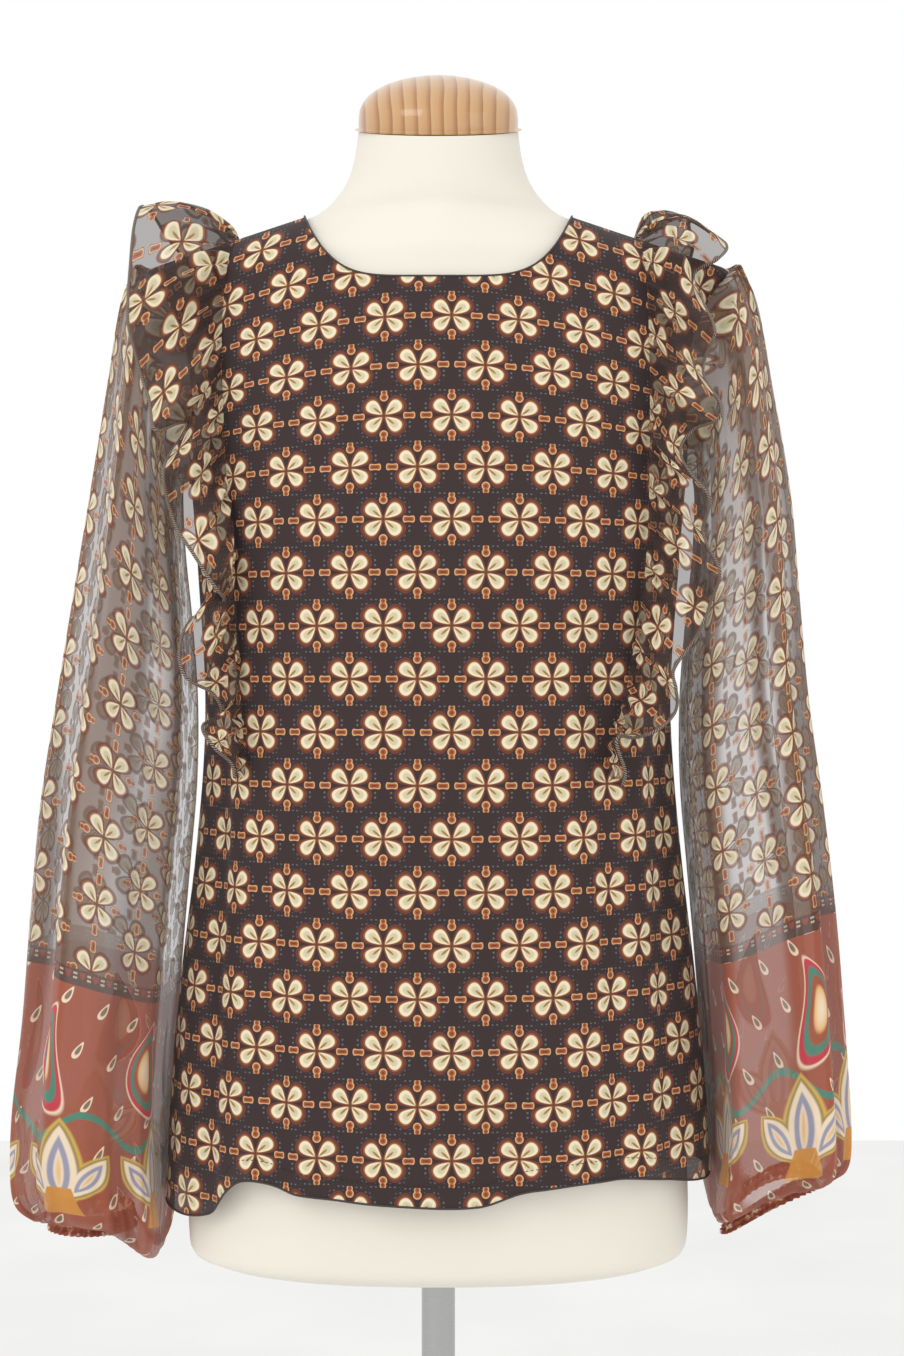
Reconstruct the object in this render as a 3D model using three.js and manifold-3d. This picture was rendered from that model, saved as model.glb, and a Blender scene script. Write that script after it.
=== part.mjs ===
// A long-sleeved blouse with ruffled princess seams, hanging on a limbless dress form on its stand.
// Millimetres, +Z up, the front faces -Y. The origin is the middle of the stand's underside.
import * as THREE from "three";
import Module from "manifold-3d";

const wasm = await Module();
wasm.setup();

// Cloth and seams
const clothThickness = 1.2;
const ruffleThickness = 1.0;
const seamHalfGap = 0.2;
const armholeGap = 0.35;
const sleeveClearance = 4;

// Neck, shoulders and armholes
const neckHalfWidth = 88;
const neckPointHeight = 1181;
const frontNeckDrop = 51;
const frontNeckPower = 5;
const backNeckDrop = 13;
const backNeckPower = 3;
const shoulderRun = 3;
const tipHeight = 1147;
const underarmShare = 0.766;
const armholeDepthShare = 0.45;
const armholeRoundness = 0.6;

// Rows of the body's grid: up to the underarm, and from there to the shoulder
const lowerRows = 12;
const upperRows = 9;
const shoulderCrowding = 1.7;
const edgeRounds = 8;
const slopeStep = 0.5;

// Back opening and its button
const slitWidth = 3;
const slitLength = 118;
const slitOverrun = 10;
const slitReach = 200;
const buttonRadius = 5;
const buttonThickness = 2.6;
const buttonEdge = 0.6;
const buttonSides = 12;
const buttonLift = 0.5;
const buttonInset = 1;

// Stand
const poleRadius = 11;
const baseRadius = 165;
const baseThickness = 16;
const baseBevel = 3;
const collarRadius = 24;
const collarHeight = 42;
const partGap = 0.3;

// The cloth body's level sections. squareness is the power of the section's rounded outline.
const bodyRings = [
  { height: 520, halfWidth: 179, front: 135, back: 128, squareness: 2.3 },
  { height: 600, halfWidth: 176, front: 133, back: 125, squareness: 2.3 },
  { height: 680, halfWidth: 169, front: 130, back: 119, squareness: 2.3 },
  { height: 770, halfWidth: 159, front: 130, back: 111, squareness: 2.3 },
  { height: 860, halfWidth: 153, front: 131, back: 107, squareness: 2.3 },
  { height: 940, halfWidth: 157, front: 132, back: 109, squareness: 2.3 },
  { height: 1010, halfWidth: 163, front: 122, back: 112, squareness: 2.3 },
  { height: 1060, halfWidth: 170, front: 108, back: 110, squareness: 2.3 },
  { height: 1100, halfWidth: 178, front: 92, back: 104, squareness: 2.2 },
  { height: 1130, halfWidth: 185, front: 78, back: 96, squareness: 2.1 },
  { height: 1147, halfWidth: 190, front: 73, back: 90, squareness: 1.8 },
  { height: 1162, halfWidth: 145, front: 70, back: 81, squareness: 1.6 },
  { height: 1181, halfWidth: 88, front: 66, back: 72, squareness: 1.45 },
];

// The dress form's sections. lean is how far the front edge of a section drops below its middle, as a slope.
const formRings = [
  { height: 500, halfWidth: 150, front: 100, back: 96, squareness: 2.3, lean: 0 },
  { height: 503, halfWidth: 159, front: 108, back: 104, squareness: 2.3, lean: 0 },
  { height: 512, halfWidth: 163, front: 113, back: 108, squareness: 2.3, lean: 0 },
  { height: 560, halfWidth: 163, front: 116, back: 110, squareness: 2.3, lean: 0 },
  { height: 620, halfWidth: 157, front: 117, back: 109, squareness: 2.3, lean: 0 },
  { height: 700, halfWidth: 142, front: 107, back: 99, squareness: 2.3, lean: 0 },
  { height: 780, halfWidth: 130, front: 100, back: 91, squareness: 2.3, lean: 0 },
  { height: 860, halfWidth: 135, front: 108, back: 92, squareness: 2.3, lean: 0 },
  { height: 930, halfWidth: 147, front: 119, back: 98, squareness: 2.3, lean: 0 },
  { height: 970, halfWidth: 150, front: 118, back: 102, squareness: 2.3, lean: 0 },
  { height: 1010, halfWidth: 153, front: 109, back: 103, squareness: 2.3, lean: 0 },
  { height: 1060, halfWidth: 161, front: 95, back: 100, squareness: 2.3, lean: 0 },
  { height: 1100, halfWidth: 169, front: 82, back: 94, squareness: 2.2, lean: 0 },
  { height: 1130, halfWidth: 176, front: 72, back: 87, squareness: 2.1, lean: 0 },
  { height: 1141, halfWidth: 182.5, front: 68, back: 81, squareness: 1.85, lean: 0 },
  { height: 1146.6, halfWidth: 183.5, front: 67, back: 77.5, squareness: 1.75, lean: 0 },
  { height: 1156, halfWidth: 156, front: 65, back: 74, squareness: 1.65, lean: 0 },
  { height: 1165, halfWidth: 128.6, front: 60, back: 68, squareness: 1.55, lean: 0 },
  { height: 1173, halfWidth: 104.4, front: 56, back: 61, squareness: 1.5, lean: 0 },
  { height: 1179, halfWidth: 85.6, front: 53, back: 57, squareness: 1.55, lean: 0 },
  { height: 1184, halfWidth: 76.5, front: 53, back: 56, squareness: 1.75, lean: 0.03 },
  { height: 1192, halfWidth: 68, front: 54, back: 56, squareness: 1.95, lean: 0.09 },
  { height: 1204, halfWidth: 60, front: 55, back: 56, squareness: 2, lean: 0.16 },
  { height: 1220, halfWidth: 55, front: 55, back: 55, squareness: 2, lean: 0.24 },
  { height: 1238, halfWidth: 52.5, front: 54, back: 54, squareness: 2, lean: 0.29 },
];
const formColumns = 28;

// Where the two princess seams run, measured from the centre front to the wearer's right and left.
const seamRows = [
  { height: 520, right: 117, left: 130 },
  { height: 650, right: 117, left: 129 },
  { height: 730, right: 120, left: 125 },
  { height: 780, right: 121, left: 116 },
  { height: 820, right: 119, left: 108 },
  { height: 870, right: 123, left: 117 },
  { height: 950, right: 128, left: 129 },
  { height: 1040, right: 134, left: 133 },
  { height: 1110, right: 136, left: 133 },
  { height: 1170, right: 131, left: 130 },
];

// The front hem from the wearer's right side seam to the left one, and the back hem behind it
const hemRows = [
  { across: -180, front: 538, back: 538 },
  { across: -148, front: 541, back: 541 },
  { across: -122, front: 566, back: 549 },
  { across: -85, front: 561, back: 553 },
  { across: -30, front: 557, back: 555 },
  { across: 25, front: 556, back: 556 },
  { across: 60, front: 565, back: 553 },
  { across: 125, front: 567, back: 556 },
  { across: 180, front: 554, back: 554 },
];

// Soft troughs in the cloth body. Each runs from one place across at its top to another at its bottom.
const frontFolds = [
  { top: 940, bottom: 600, acrossTop: 98, acrossBottom: 117, width: 11, depth: 5 },
  { top: 900, bottom: 560, acrossTop: 140, acrossBottom: 150, width: 9, depth: 5 },
  { top: 880, bottom: 560, acrossTop: -138, acrossBottom: -146, width: 9, depth: 6 },
  { top: 800, bottom: 560, acrossTop: -104, acrossBottom: -100, width: 10, depth: 4 },
  { top: 760, bottom: 556, acrossTop: 38, acrossBottom: 46, width: 14, depth: 4 },
  { top: 720, bottom: 556, acrossTop: -52, acrossBottom: -64, width: 14, depth: 3 },
];
const backFolds = [
  { top: 900, bottom: 556, acrossTop: -96, acrossBottom: -108, width: 12, depth: 6 },
  { top: 860, bottom: 556, acrossTop: 92, acrossBottom: 112, width: 12, depth: 6 },
  { top: 820, bottom: 556, acrossTop: -34, acrossBottom: -44, width: 14, depth: 5 },
  { top: 780, bottom: 556, acrossTop: 40, acrossBottom: 36, width: 14, depth: 4 },
];
const foldFade = 90;
const sideFade = 30;

// A sleeve's sections, from the shoulder down. outX and outZ place the end away from the body, inX and inZ
// the end towards it. A hang over 1 sinks the inner end alone. folds and gathers are wave heights.
const sleeveColumns = 48;
const sleeveFoldWaves = 6;
const sleeveGatherWaves = 12;
const sleeveUnevenness = 0.25;
const sleeveFoldTurn = 0.9;
const turnStep = 0.02;
const rightSleeveSections = [
  { outX: 197, outZ: 1149, inX: 169, inZ: 1006, front: 54, back: 56, hang: 1, folds: 0, gathers: 1.6 },
  { outX: 205, outZ: 1124, inX: 171, inZ: 990, front: 58, back: 61, hang: 1, folds: 1.5, gathers: 0.8 },
  { outX: 213, outZ: 1066, inX: 170, inZ: 955, front: 60, back: 66, hang: 1, folds: 3, gathers: 0 },
  { outX: 222, outZ: 1000, inX: 166, inZ: 910, front: 62, back: 72, hang: 1, folds: 5, gathers: 0 },
  { outX: 232, outZ: 932, inX: 163, inZ: 860, front: 66, back: 79, hang: 1, folds: 6.5, gathers: 0 },
  { outX: 241, outZ: 866, inX: 164, inZ: 806, front: 74, back: 85, hang: 1, folds: 8, gathers: 0 },
  { outX: 250, outZ: 798, inX: 169, inZ: 750, front: 82, back: 89, hang: 1, folds: 9, gathers: 0 },
  { outX: 256, outZ: 728, inX: 174, inZ: 694, front: 86, back: 92, hang: 1, folds: 9, gathers: 0 },
  { outX: 261, outZ: 660, inX: 178, inZ: 638, front: 88, back: 93, hang: 1, folds: 9, gathers: 0 },
  { outX: 268, outZ: 600, inX: 180, inZ: 588, front: 88, back: 92, hang: 1.3, folds: 8, gathers: 0.5 },
  { outX: 271, outZ: 558, inX: 179, inZ: 545, front: 80, back: 84, hang: 2, folds: 6, gathers: 1 },
  { outX: 270, outZ: 538, inX: 178, inZ: 518, front: 66, back: 70, hang: 3, folds: 4, gathers: 1.8 },
  { outX: 264, outZ: 528, inX: 182, inZ: 502, front: 52, back: 54, hang: 4, folds: 2, gathers: 2 },
  { outX: 260, outZ: 526, inX: 189, inZ: 498, front: 42, back: 43, hang: 4, folds: 1, gathers: 1.8 },
  { outX: 257, outZ: 527.5, inX: 196, inZ: 511, front: 36, back: 36, hang: 4, folds: 0, gathers: 1.6 },
  { outX: 254, outZ: 530, inX: 202, inZ: 530, front: 31, back: 31, hang: 1, folds: 0, gathers: 1.5 },
];
const rightCuffSections = [
  { outX: 254, outZ: 529, inX: 202, inZ: 529, front: 31, back: 31, hang: 1, folds: 0, gathers: 1.5 },
  { outX: 254, outZ: 523, inX: 202, inZ: 523, front: 31, back: 31, hang: 1, folds: 0, gathers: 1.1 },
  { outX: 256, outZ: 516, inX: 200, inZ: 516, front: 33, back: 33, hang: 1, folds: 0, gathers: 1.9 },
];
const leftSleeveSections = [
  { outX: 197, outZ: 1149, inX: 169, inZ: 1009, front: 54, back: 56, hang: 1, folds: 0, gathers: 1.6 },
  { outX: 207, outZ: 1120, inX: 171, inZ: 992, front: 58, back: 61, hang: 1, folds: 1.5, gathers: 0.8 },
  { outX: 216, outZ: 1062, inX: 170, inZ: 955, front: 60, back: 66, hang: 1, folds: 3, gathers: 0 },
  { outX: 225, outZ: 996, inX: 166, inZ: 910, front: 62, back: 72, hang: 1, folds: 5, gathers: 0 },
  { outX: 229, outZ: 930, inX: 163, inZ: 860, front: 66, back: 79, hang: 1, folds: 6.5, gathers: 0 },
  { outX: 233, outZ: 864, inX: 164, inZ: 806, front: 74, back: 85, hang: 1, folds: 8, gathers: 0 },
  { outX: 241, outZ: 796, inX: 169, inZ: 750, front: 82, back: 89, hang: 1, folds: 9, gathers: 0 },
  { outX: 249, outZ: 726, inX: 174, inZ: 694, front: 86, back: 92, hang: 1, folds: 9, gathers: 0 },
  { outX: 254, outZ: 664, inX: 178, inZ: 640, front: 88, back: 93, hang: 1, folds: 9, gathers: 0 },
  { outX: 259, outZ: 610, inX: 180, inZ: 592, front: 86, back: 90, hang: 1, folds: 8, gathers: 0.5 },
  { outX: 262, outZ: 574, inX: 179, inZ: 560, front: 78, back: 82, hang: 1, folds: 6, gathers: 1 },
  { outX: 261, outZ: 558, inX: 177, inZ: 540, front: 62, back: 66, hang: 1.4, folds: 4, gathers: 1.8 },
  { outX: 256, outZ: 551, inX: 179, inZ: 528, front: 48, back: 50, hang: 1.7, folds: 2, gathers: 2 },
  { outX: 252.5, outZ: 550, inX: 183, inZ: 521, front: 40, back: 40, hang: 1.9, folds: 1, gathers: 1.8 },
  { outX: 250, outZ: 552, inX: 187, inZ: 520, front: 35, back: 35, hang: 2, folds: 0, gathers: 1.6 },
  { outX: 247, outZ: 555, inX: 192.5, inZ: 524, front: 31, back: 31, hang: 2, folds: 0, gathers: 1.5 },
];
const leftCuffSections = [
  { outX: 247, outZ: 554.5, inX: 192.6, inZ: 523.5, front: 31, back: 31, hang: 2, folds: 0, gathers: 1.5 },
  { outX: 247.3, outZ: 549, inX: 190.5, inZ: 517.5, front: 31, back: 31, hang: 2, folds: 0, gathers: 1.1 },
  { outX: 249.5, outZ: 543, inX: 187.5, inZ: 511, front: 33, back: 33, hang: 2, folds: 0, gathers: 1.9 },
];

// A ruffle's free edge at shares of its length, from its end behind the shoulder to its end at the front.
// The belly is how far the ruffle arches between its seam and its edge.
const ruffleColumns = 3;
const ruffleRows = 77;
const ruffleLift = 1.2;
const ruffleRidgeHeight = 1168;
const ruffleBackHeight = 1120;
const ruffleEndHeight = 817;
const rightRuffleEdge = [
  { share: 0, x: -137.0, y: 78.0, z: 1120.0, belly: 7 },
  { share: 0.06, x: -165.0, y: 76.0, z: 1150.0, belly: 7.5 },
  { share: 0.12, x: -188.0, y: 50.0, z: 1182.0, belly: 8 },
  { share: 0.18, x: -194.0, y: 8.0, z: 1191.0, belly: 9 },
  { share: 0.24, x: -196.7, y: -30.0, z: 1169.7, belly: 10 },
  { share: 0.28, x: -196.0, y: -62.0, z: 1127.3, belly: 10 },
  { share: 0.33, x: -193.4, y: -80.0, z: 1099.7, belly: 9 },
  { share: 0.37, x: -187.7, y: -72.0, z: 1071.4, belly: 8 },
  { share: 0.41, x: -179.5, y: -90.0, z: 1050.7, belly: 7 },
  { share: 0.445, x: -172.7, y: -110.0, z: 1029.8, belly: 6.9 },
  { share: 0.475, x: -157.0, y: -80.0, z: 1038.1, belly: 6.8 },
  { share: 0.51, x: -165.6, y: -90.0, z: 1017.6, belly: 6.7 },
  { share: 0.55, x: -167.8, y: -114.0, z: 1000.1, belly: 6.6 },
  { share: 0.59, x: -163.4, y: -100.0, z: 974.8, belly: 6.4 },
  { share: 0.63, x: -150.2, y: -116.0, z: 953.9, belly: 6.3 },
  { share: 0.665, x: -134.4, y: -122.0, z: 929.8, belly: 6.2 },
  { share: 0.69, x: -133.1, y: -98.0, z: 922.2, belly: 6.1 },
  { share: 0.72, x: -151.7, y: -100.0, z: 914.1, belly: 6.1 },
  { share: 0.76, x: -157.0, y: -116.0, z: 897.3, belly: 5.9 },
  { share: 0.8, x: -152.5, y: -124.0, z: 877.6, belly: 5.8 },
  { share: 0.84, x: -139.3, y: -108.0, z: 869.0, belly: 5.7 },
  { share: 0.87, x: -133.4, y: -98.0, z: 853.6, belly: 5.6 },
  { share: 0.9, x: -144.0, y: -106.0, z: 846.8, belly: 5.5 },
  { share: 0.94, x: -136.9, y: -118.0, z: 835.9, belly: 3.3 },
  { share: 0.97, x: -127.4, y: -108.0, z: 825.3, belly: 1.7 },
  { share: 1, x: -124.0, y: -103.0, z: 815.0, belly: 0 },
];
const leftRuffleEdge = [
  { share: 0, x: 137.0, y: 78.0, z: 1120.0, belly: 7 },
  { share: 0.06, x: 163.0, y: 74.0, z: 1145.0, belly: 8 },
  { share: 0.12, x: 172.0, y: 50.0, z: 1168.0, belly: 9 },
  { share: 0.17, x: 167.6, y: 10.0, z: 1180.6, belly: 12 },
  { share: 0.21, x: 186.5, y: -25.0, z: 1160.5, belly: 14 },
  { share: 0.25, x: 178.5, y: -52.0, z: 1145.1, belly: 14 },
  { share: 0.28, x: 164.6, y: -46.0, z: 1136.6, belly: 13 },
  { share: 0.31, x: 166.2, y: -68.0, z: 1118.2, belly: 12 },
  { share: 0.35, x: 172.2, y: -90.0, z: 1092.7, belly: 10.3 },
  { share: 0.38, x: 168.0, y: -76.0, z: 1079.8, belly: 9 },
  { share: 0.41, x: 166.7, y: -82.0, z: 1064.5, belly: 8.1 },
  { share: 0.44, x: 175.2, y: -106.0, z: 1044.9, belly: 7.3 },
  { share: 0.465, x: 172.6, y: -112.0, z: 1034.2, belly: 7 },
  { share: 0.49, x: 160.1, y: -82.0, z: 1031.7, belly: 6.9 },
  { share: 0.515, x: 151.8, y: -88.0, z: 1020.3, belly: 6.8 },
  { share: 0.545, x: 154.8, y: -108.0, z: 1003.4, belly: 6.7 },
  { share: 0.58, x: 167.1, y: -118.0, z: 984.9, belly: 6.6 },
  { share: 0.61, x: 163.9, y: -100.0, z: 969.8, belly: 6.5 },
  { share: 0.64, x: 166.6, y: -108.0, z: 958.5, belly: 6.4 },
  { share: 0.67, x: 172.7, y: -120.0, z: 942.2, belly: 6.3 },
  { share: 0.7, x: 168.6, y: -102.0, z: 925.6, belly: 6.2 },
  { share: 0.73, x: 162.2, y: -116.0, z: 911.4, belly: 6.1 },
  { share: 0.76, x: 157.5, y: -104.0, z: 900.4, belly: 6 },
  { share: 0.79, x: 144.2, y: -116.0, z: 883.1, belly: 5.9 },
  { share: 0.82, x: 145.1, y: -124.0, z: 869.7, belly: 5.8 },
  { share: 0.86, x: 145.9, y: -110.0, z: 856.2, belly: 5.6 },
  { share: 0.89, x: 133.5, y: -124.0, z: 844.6, belly: 5.5 },
  { share: 0.92, x: 120.4, y: -106.0, z: 839.5, belly: 4.4 },
  { share: 0.95, x: 109.6, y: -122.0, z: 839.0, belly: 2.8 },
  { share: 0.98, x: 115.4, y: -112.0, z: 820.5, belly: 1.1 },
  { share: 1, x: 114.0, y: -107.0, z: 811.0, belly: 0 },
];
const ruffleBaseSteps = 60;

// The wooden cap's half outline above the neck's slanting top
const capLean = Math.atan(0.29);
const capOutline = [
  { radius: 0, height: 0 },
  { radius: 51, height: 0 },
  { radius: 52.5, height: 2 },
  { radius: 52.5, height: 8 },
  { radius: 51, height: 15 },
  { radius: 46, height: 22 },
  { radius: 36, height: 28.5 },
  { radius: 22, height: 33 },
  { radius: 9, height: 35 },
  { radius: 0, height: 35.4 },
];
const roundSides = 32;

// Materials
const printCloth = new THREE.MeshStandardMaterial({ color: 0x4a3b3a, roughness: 0.85, metalness: 0 });
const sheerCloth = new THREE.MeshStandardMaterial({ color: 0x5d4c48, roughness: 0.85, metalness: 0 });
const cuffCloth = new THREE.MeshStandardMaterial({ color: 0x93503c, roughness: 0.85, metalness: 0 });
const buttonShell = new THREE.MeshStandardMaterial({ color: 0x2c2422, roughness: 0.35, metalness: 0 });
const formJersey = new THREE.MeshStandardMaterial({ color: 0xf1ece0, roughness: 0.9, metalness: 0 });
const lacqueredPine = new THREE.MeshStandardMaterial({ color: 0xdcae74, roughness: 0.3, metalness: 0 });
const brushedSteel = new THREE.MeshStandardMaterial({ color: 0x9a9a98, roughness: 0.35, metalness: 1 });

// A smooth curve through one column of a table whose rows are ordered by the key column
function along(rows, key, value, column) {
  const last = rows.length - 1;
  let i = 0;
  while (i < last - 1 && value > rows[i + 1][key]) i++;
  const slope = (a, b) => (rows[b][column] - rows[a][column]) / (rows[b][key] - rows[a][key]);
  const step = rows[i + 1][key] - rows[i][key];
  const t = THREE.MathUtils.clamp((value - rows[i][key]) / step, 0, 1);
  const startSlope = slope(Math.max(i - 1, 0), i + 1) * step;
  const endSlope = slope(i, Math.min(i + 2, last)) * step;
  const rise = rows[i + 1][column] - rows[i][column];
  const start = rows[i][column];
  const square = 3 * rise - 2 * startSlope - endSlope;
  const cube = startSlope + endSlope - 2 * rise;
  return start + t * (startSlope + t * (square + t * cube));
}

function bodyRing(height) {
  const read = (column) => along(bodyRings, "height", height, column);
  const shoulder = neckHalfWidth + (neckPointHeight - height) * shoulderRun;
  return {
    halfWidth: height > tipHeight ? Math.max(shoulder, 1) : read("halfWidth"),
    front: read("front"),
    back: read("back"),
    squareness: read("squareness"),
  };
}

function foldDepth(folds, across, height) {
  let depth = 0;
  for (const fold of folds) {
    const down = THREE.MathUtils.clamp((fold.top - height) / (fold.top - fold.bottom), 0, 1);
    const middle = THREE.MathUtils.lerp(fold.acrossTop, fold.acrossBottom, down);
    const fade = THREE.MathUtils.smoothstep(fold.top - height, 0, foldFade);
    depth += fold.depth * fade * Math.exp(-(((across - middle) / fold.width) ** 2));
  }
  return depth;
}

// The cloth body's outer surface at a place across and a height, on the front (side -1) or the back (side 1)
function bodySurface(across, height, side) {
  const ring = bodyRing(height);
  const reach = side < 0 ? ring.front : ring.back;
  const power = ring.squareness;
  const shareX = Math.abs(across) / ring.halfWidth;
  const shareY = (1 - Math.min(shareX, 1) ** power) ** (1 / power);
  const depth = reach * shareY;
  const level = (z) => {
    const other = bodyRing(z);
    const shareBack = depth / (side < 0 ? other.front : other.back);
    return (Math.abs(across) / other.halfWidth) ** other.squareness + shareBack ** other.squareness;
  };
  const normal = new THREE.Vector3(
    (Math.sign(across) * power * shareX ** (power - 1)) / ring.halfWidth,
    (side * power * shareY ** (power - 1)) / reach,
    (level(height + slopeStep) - level(height - slopeStep)) / (2 * slopeStep),
  ).normalize();
  const sink = foldDepth(side < 0 ? frontFolds : backFolds, across, height);
  const point = new THREE.Vector3(across, side * depth, height);
  point.addScaledVector(normal, -sink * THREE.MathUtils.smoothstep(depth, 0, sideFade));
  return { point, normal };
}

const shoulderHeight = (across) => neckPointHeight - (Math.abs(across) - neckHalfWidth) / shoulderRun;

function topHeight(across, side) {
  const share = Math.abs(across) / neckHalfWidth;
  if (share >= 1) return shoulderHeight(across);
  if (side < 0) return neckPointHeight - frontNeckDrop * (1 - share ** frontNeckPower);
  return neckPointHeight - backNeckDrop * (1 - share ** backNeckPower);
}

function hemHeight(across, side) {
  return along(hemRows, "across", across, side < 0 ? "front" : "back");
}

// The armhole of one side of the body: its lowest height, and the edge's place across at each height
function armhole(sign) {
  const sideHem = hemHeight(sign * bodyRings[0].halfWidth, -1);
  const underarm = sideHem + underarmShare * (tipHeight - sideHem);
  const edgeAcross = (height) => {
    const ring = bodyRing(Math.min(height, tipHeight));
    const rise = THREE.MathUtils.clamp((height - underarm) / (tipHeight - underarm), 0, 1);
    const depth = armholeDepthShare * Math.sin(Math.PI * rise) ** armholeRoundness;
    return sign * ring.halfWidth * (1 - depth ** ring.squareness) ** (1 / ring.squareness);
  };
  return { underarm, edgeAcross };
}

const seamAcross = (sign, height) => sign * along(seamRows, "height", height, sign < 0 ? "right" : "left");

function rowShare(row) {
  if (row <= lowerRows) return (underarmShare * row) / lowerRows;
  const left = 1 - (row - lowerRows) / upperRows;
  return 1 - (1 - underarmShare) * left ** shoulderCrowding;
}

// A closed wall between two grids of the same size, with each face split along its shorter diagonal.
// A tube's columns meet round the back.
function wallGeometry(outer, inner, tube) {
  const rows = outer.length;
  const columns = outer[0].length;
  const positions = [...outer.flat(), ...inner.flat()].flatMap((p) => [p.x, p.y, p.z]);
  const index = [];
  const at = (face, i, j) => (face * rows + i) * columns + (j % columns);
  const quad = (a, b, c, d) => index.push(a, b, c, a, c, d);
  const spans = tube ? columns : columns - 1;
  for (let i = 0; i < rows - 1; i++) {
    for (let j = 0; j < spans; j++) {
      const k = (j + 1) % columns;
      const falling = outer[i][j].distanceTo(outer[i + 1][k]) < outer[i + 1][j].distanceTo(outer[i][k]);
      const [a, b, c, d] = [at(0, i, j), at(0, i, k), at(0, i + 1, k), at(0, i + 1, j)];
      const [e, f, g, h] = [at(1, i, j), at(1, i, k), at(1, i + 1, k), at(1, i + 1, j)];
      if (falling) {
        quad(a, b, c, d);
        quad(e, h, g, f);
      } else {
        quad(b, c, d, a);
        quad(f, e, h, g);
      }
    }
  }
  for (let j = 0; j < spans; j++) {
    quad(at(0, 0, j), at(1, 0, j), at(1, 0, j + 1), at(0, 0, j + 1));
    quad(at(0, rows - 1, j), at(0, rows - 1, j + 1), at(1, rows - 1, j + 1), at(1, rows - 1, j));
  }
  for (let i = 0; !tube && i < rows - 1; i++) {
    quad(at(0, i, 0), at(0, i + 1, 0), at(1, i + 1, 0), at(1, i, 0));
    quad(at(0, i, spans), at(1, i, spans), at(1, i + 1, spans), at(0, i + 1, spans));
  }
  return faceOut(positions, index);
}

// Turns the faces round where they enclose a negative volume
function faceOut(positions, index) {
  const corner = (k) => new THREE.Vector3().fromArray(positions, 3 * index[k]);
  let volume = 0;
  for (let k = 0; k < index.length; k += 3) volume += corner(k).dot(corner(k + 1).cross(corner(k + 2)));
  if (volume < 0) index.reverse();
  return new THREE.BufferGeometry()
    .setAttribute("position", new THREE.Float32BufferAttribute(positions, 3))
    .setIndex(index);
}

function mesh(name, geometry, material) {
  const made = new THREE.Mesh(geometry, material);
  made.name = name;
  return made;
}

// The outer and inner points of one row on the cloth body. across gives the column's place at each height.
function bodyPoints(side, across, row) {
  let top = tipHeight;
  let hem = bodyRings[0].height;
  for (let round = 0; round < edgeRounds; round++) {
    top = topHeight(across(top), side);
    hem = hemHeight(across(hem), side);
  }
  const height = THREE.MathUtils.lerp(hem, top, rowShare(row));
  const { point, normal } = bodySurface(across(height), height, side);
  const inside = point.clone().addScaledVector(normal, -clothThickness);
  for (const p of [point, inside]) p.y = side * Math.max(side * p.y, seamHalfGap);
  return { outer: point, inner: inside };
}

// A panel of the cloth body between two edges that are functions of the height, with columns at given shares
function bodyPanel(side, startEdge, endEdge, shares) {
  const outer = [];
  const inner = [];
  for (let row = 0; row <= lowerRows + upperRows; row++) {
    const spots = shares.map((share) =>
      bodyPoints(side, (height) => THREE.MathUtils.lerp(startEdge(height), endEdge(height), share), row),
    );
    outer.push(spots.map((spot) => spot.outer));
    inner.push(spots.map((spot) => spot.inner));
  }
  return wallGeometry(outer, inner, false);
}

// Column shares that are even on the shoulders and crowd towards a column on each neck point
function neckShares(startEdge, endEdge, shoulderColumns, neckColumns) {
  const start = startEdge(neckPointHeight);
  const end = endEdge(neckPointHeight);
  const shoulder = Array.from({ length: shoulderColumns }, (_, i) => i / shoulderColumns);
  const places = [
    ...shoulder.map((t) => THREE.MathUtils.lerp(start, -neckHalfWidth, t)),
    ...Array.from({ length: neckColumns }, (_, i) => -neckHalfWidth * Math.cos((Math.PI * i) / neckColumns)),
    ...shoulder.map((t) => THREE.MathUtils.lerp(neckHalfWidth, end, t)),
    end,
  ];
  return places.map((across) => (across - start) / (end - start));
}

function frontPanel() {
  const start = (height) => seamAcross(-1, height) + seamHalfGap;
  const end = (height) => seamAcross(1, height) - seamHalfGap;
  return mesh("front_panel", bodyPanel(-1, start, end, neckShares(start, end, 3, 14)), printCloth);
}

function sideFrontPanel(name, sign) {
  const start = (height) => seamAcross(sign, height) + sign * seamHalfGap;
  const shares = [0, 0.2, 0.4, 0.6, 0.8, 1];
  return mesh(name, bodyPanel(-1, start, armhole(sign).edgeAcross, shares), printCloth);
}

// Cuts one closed geometry out of another
function cut(geometry, tool) {
  const solid = (g) => {
    const vertProperties = new Float32Array(g.attributes.position.array);
    const triVerts = new Uint32Array(g.index.array);
    return new wasm.Manifold(new wasm.Mesh({ numProp: 3, vertProperties, triVerts }));
  };
  const left = solid(geometry).subtract(solid(tool)).getMesh();
  return new THREE.BufferGeometry()
    .setAttribute("position", new THREE.BufferAttribute(new Float32Array(left.vertProperties), 3))
    .setIndex(new THREE.BufferAttribute(new Uint32Array(left.triVerts), 1));
}

// A closed block between two heights, set on the back of the body at the centre
function slitTool() {
  const low = neckPointHeight - backNeckDrop - slitLength;
  const high = neckPointHeight + slitOverrun;
  const half = slitWidth / 2;
  const line = (height, depth) => [-half, half].map((across) => new THREE.Vector3(across, depth, height));
  const near = [line(low, slitOverrun), line(high, slitOverrun)];
  const far = [line(low, slitReach), line(high, slitReach)];
  return wallGeometry(far, near, false);
}

function backPanel() {
  const start = armhole(-1).edgeAcross;
  const end = armhole(1).edgeAcross;
  const whole = bodyPanel(1, start, end, neckShares(start, end, 5, 12));
  return mesh("back_panel", cut(whole, slitTool()), printCloth);
}

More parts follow.
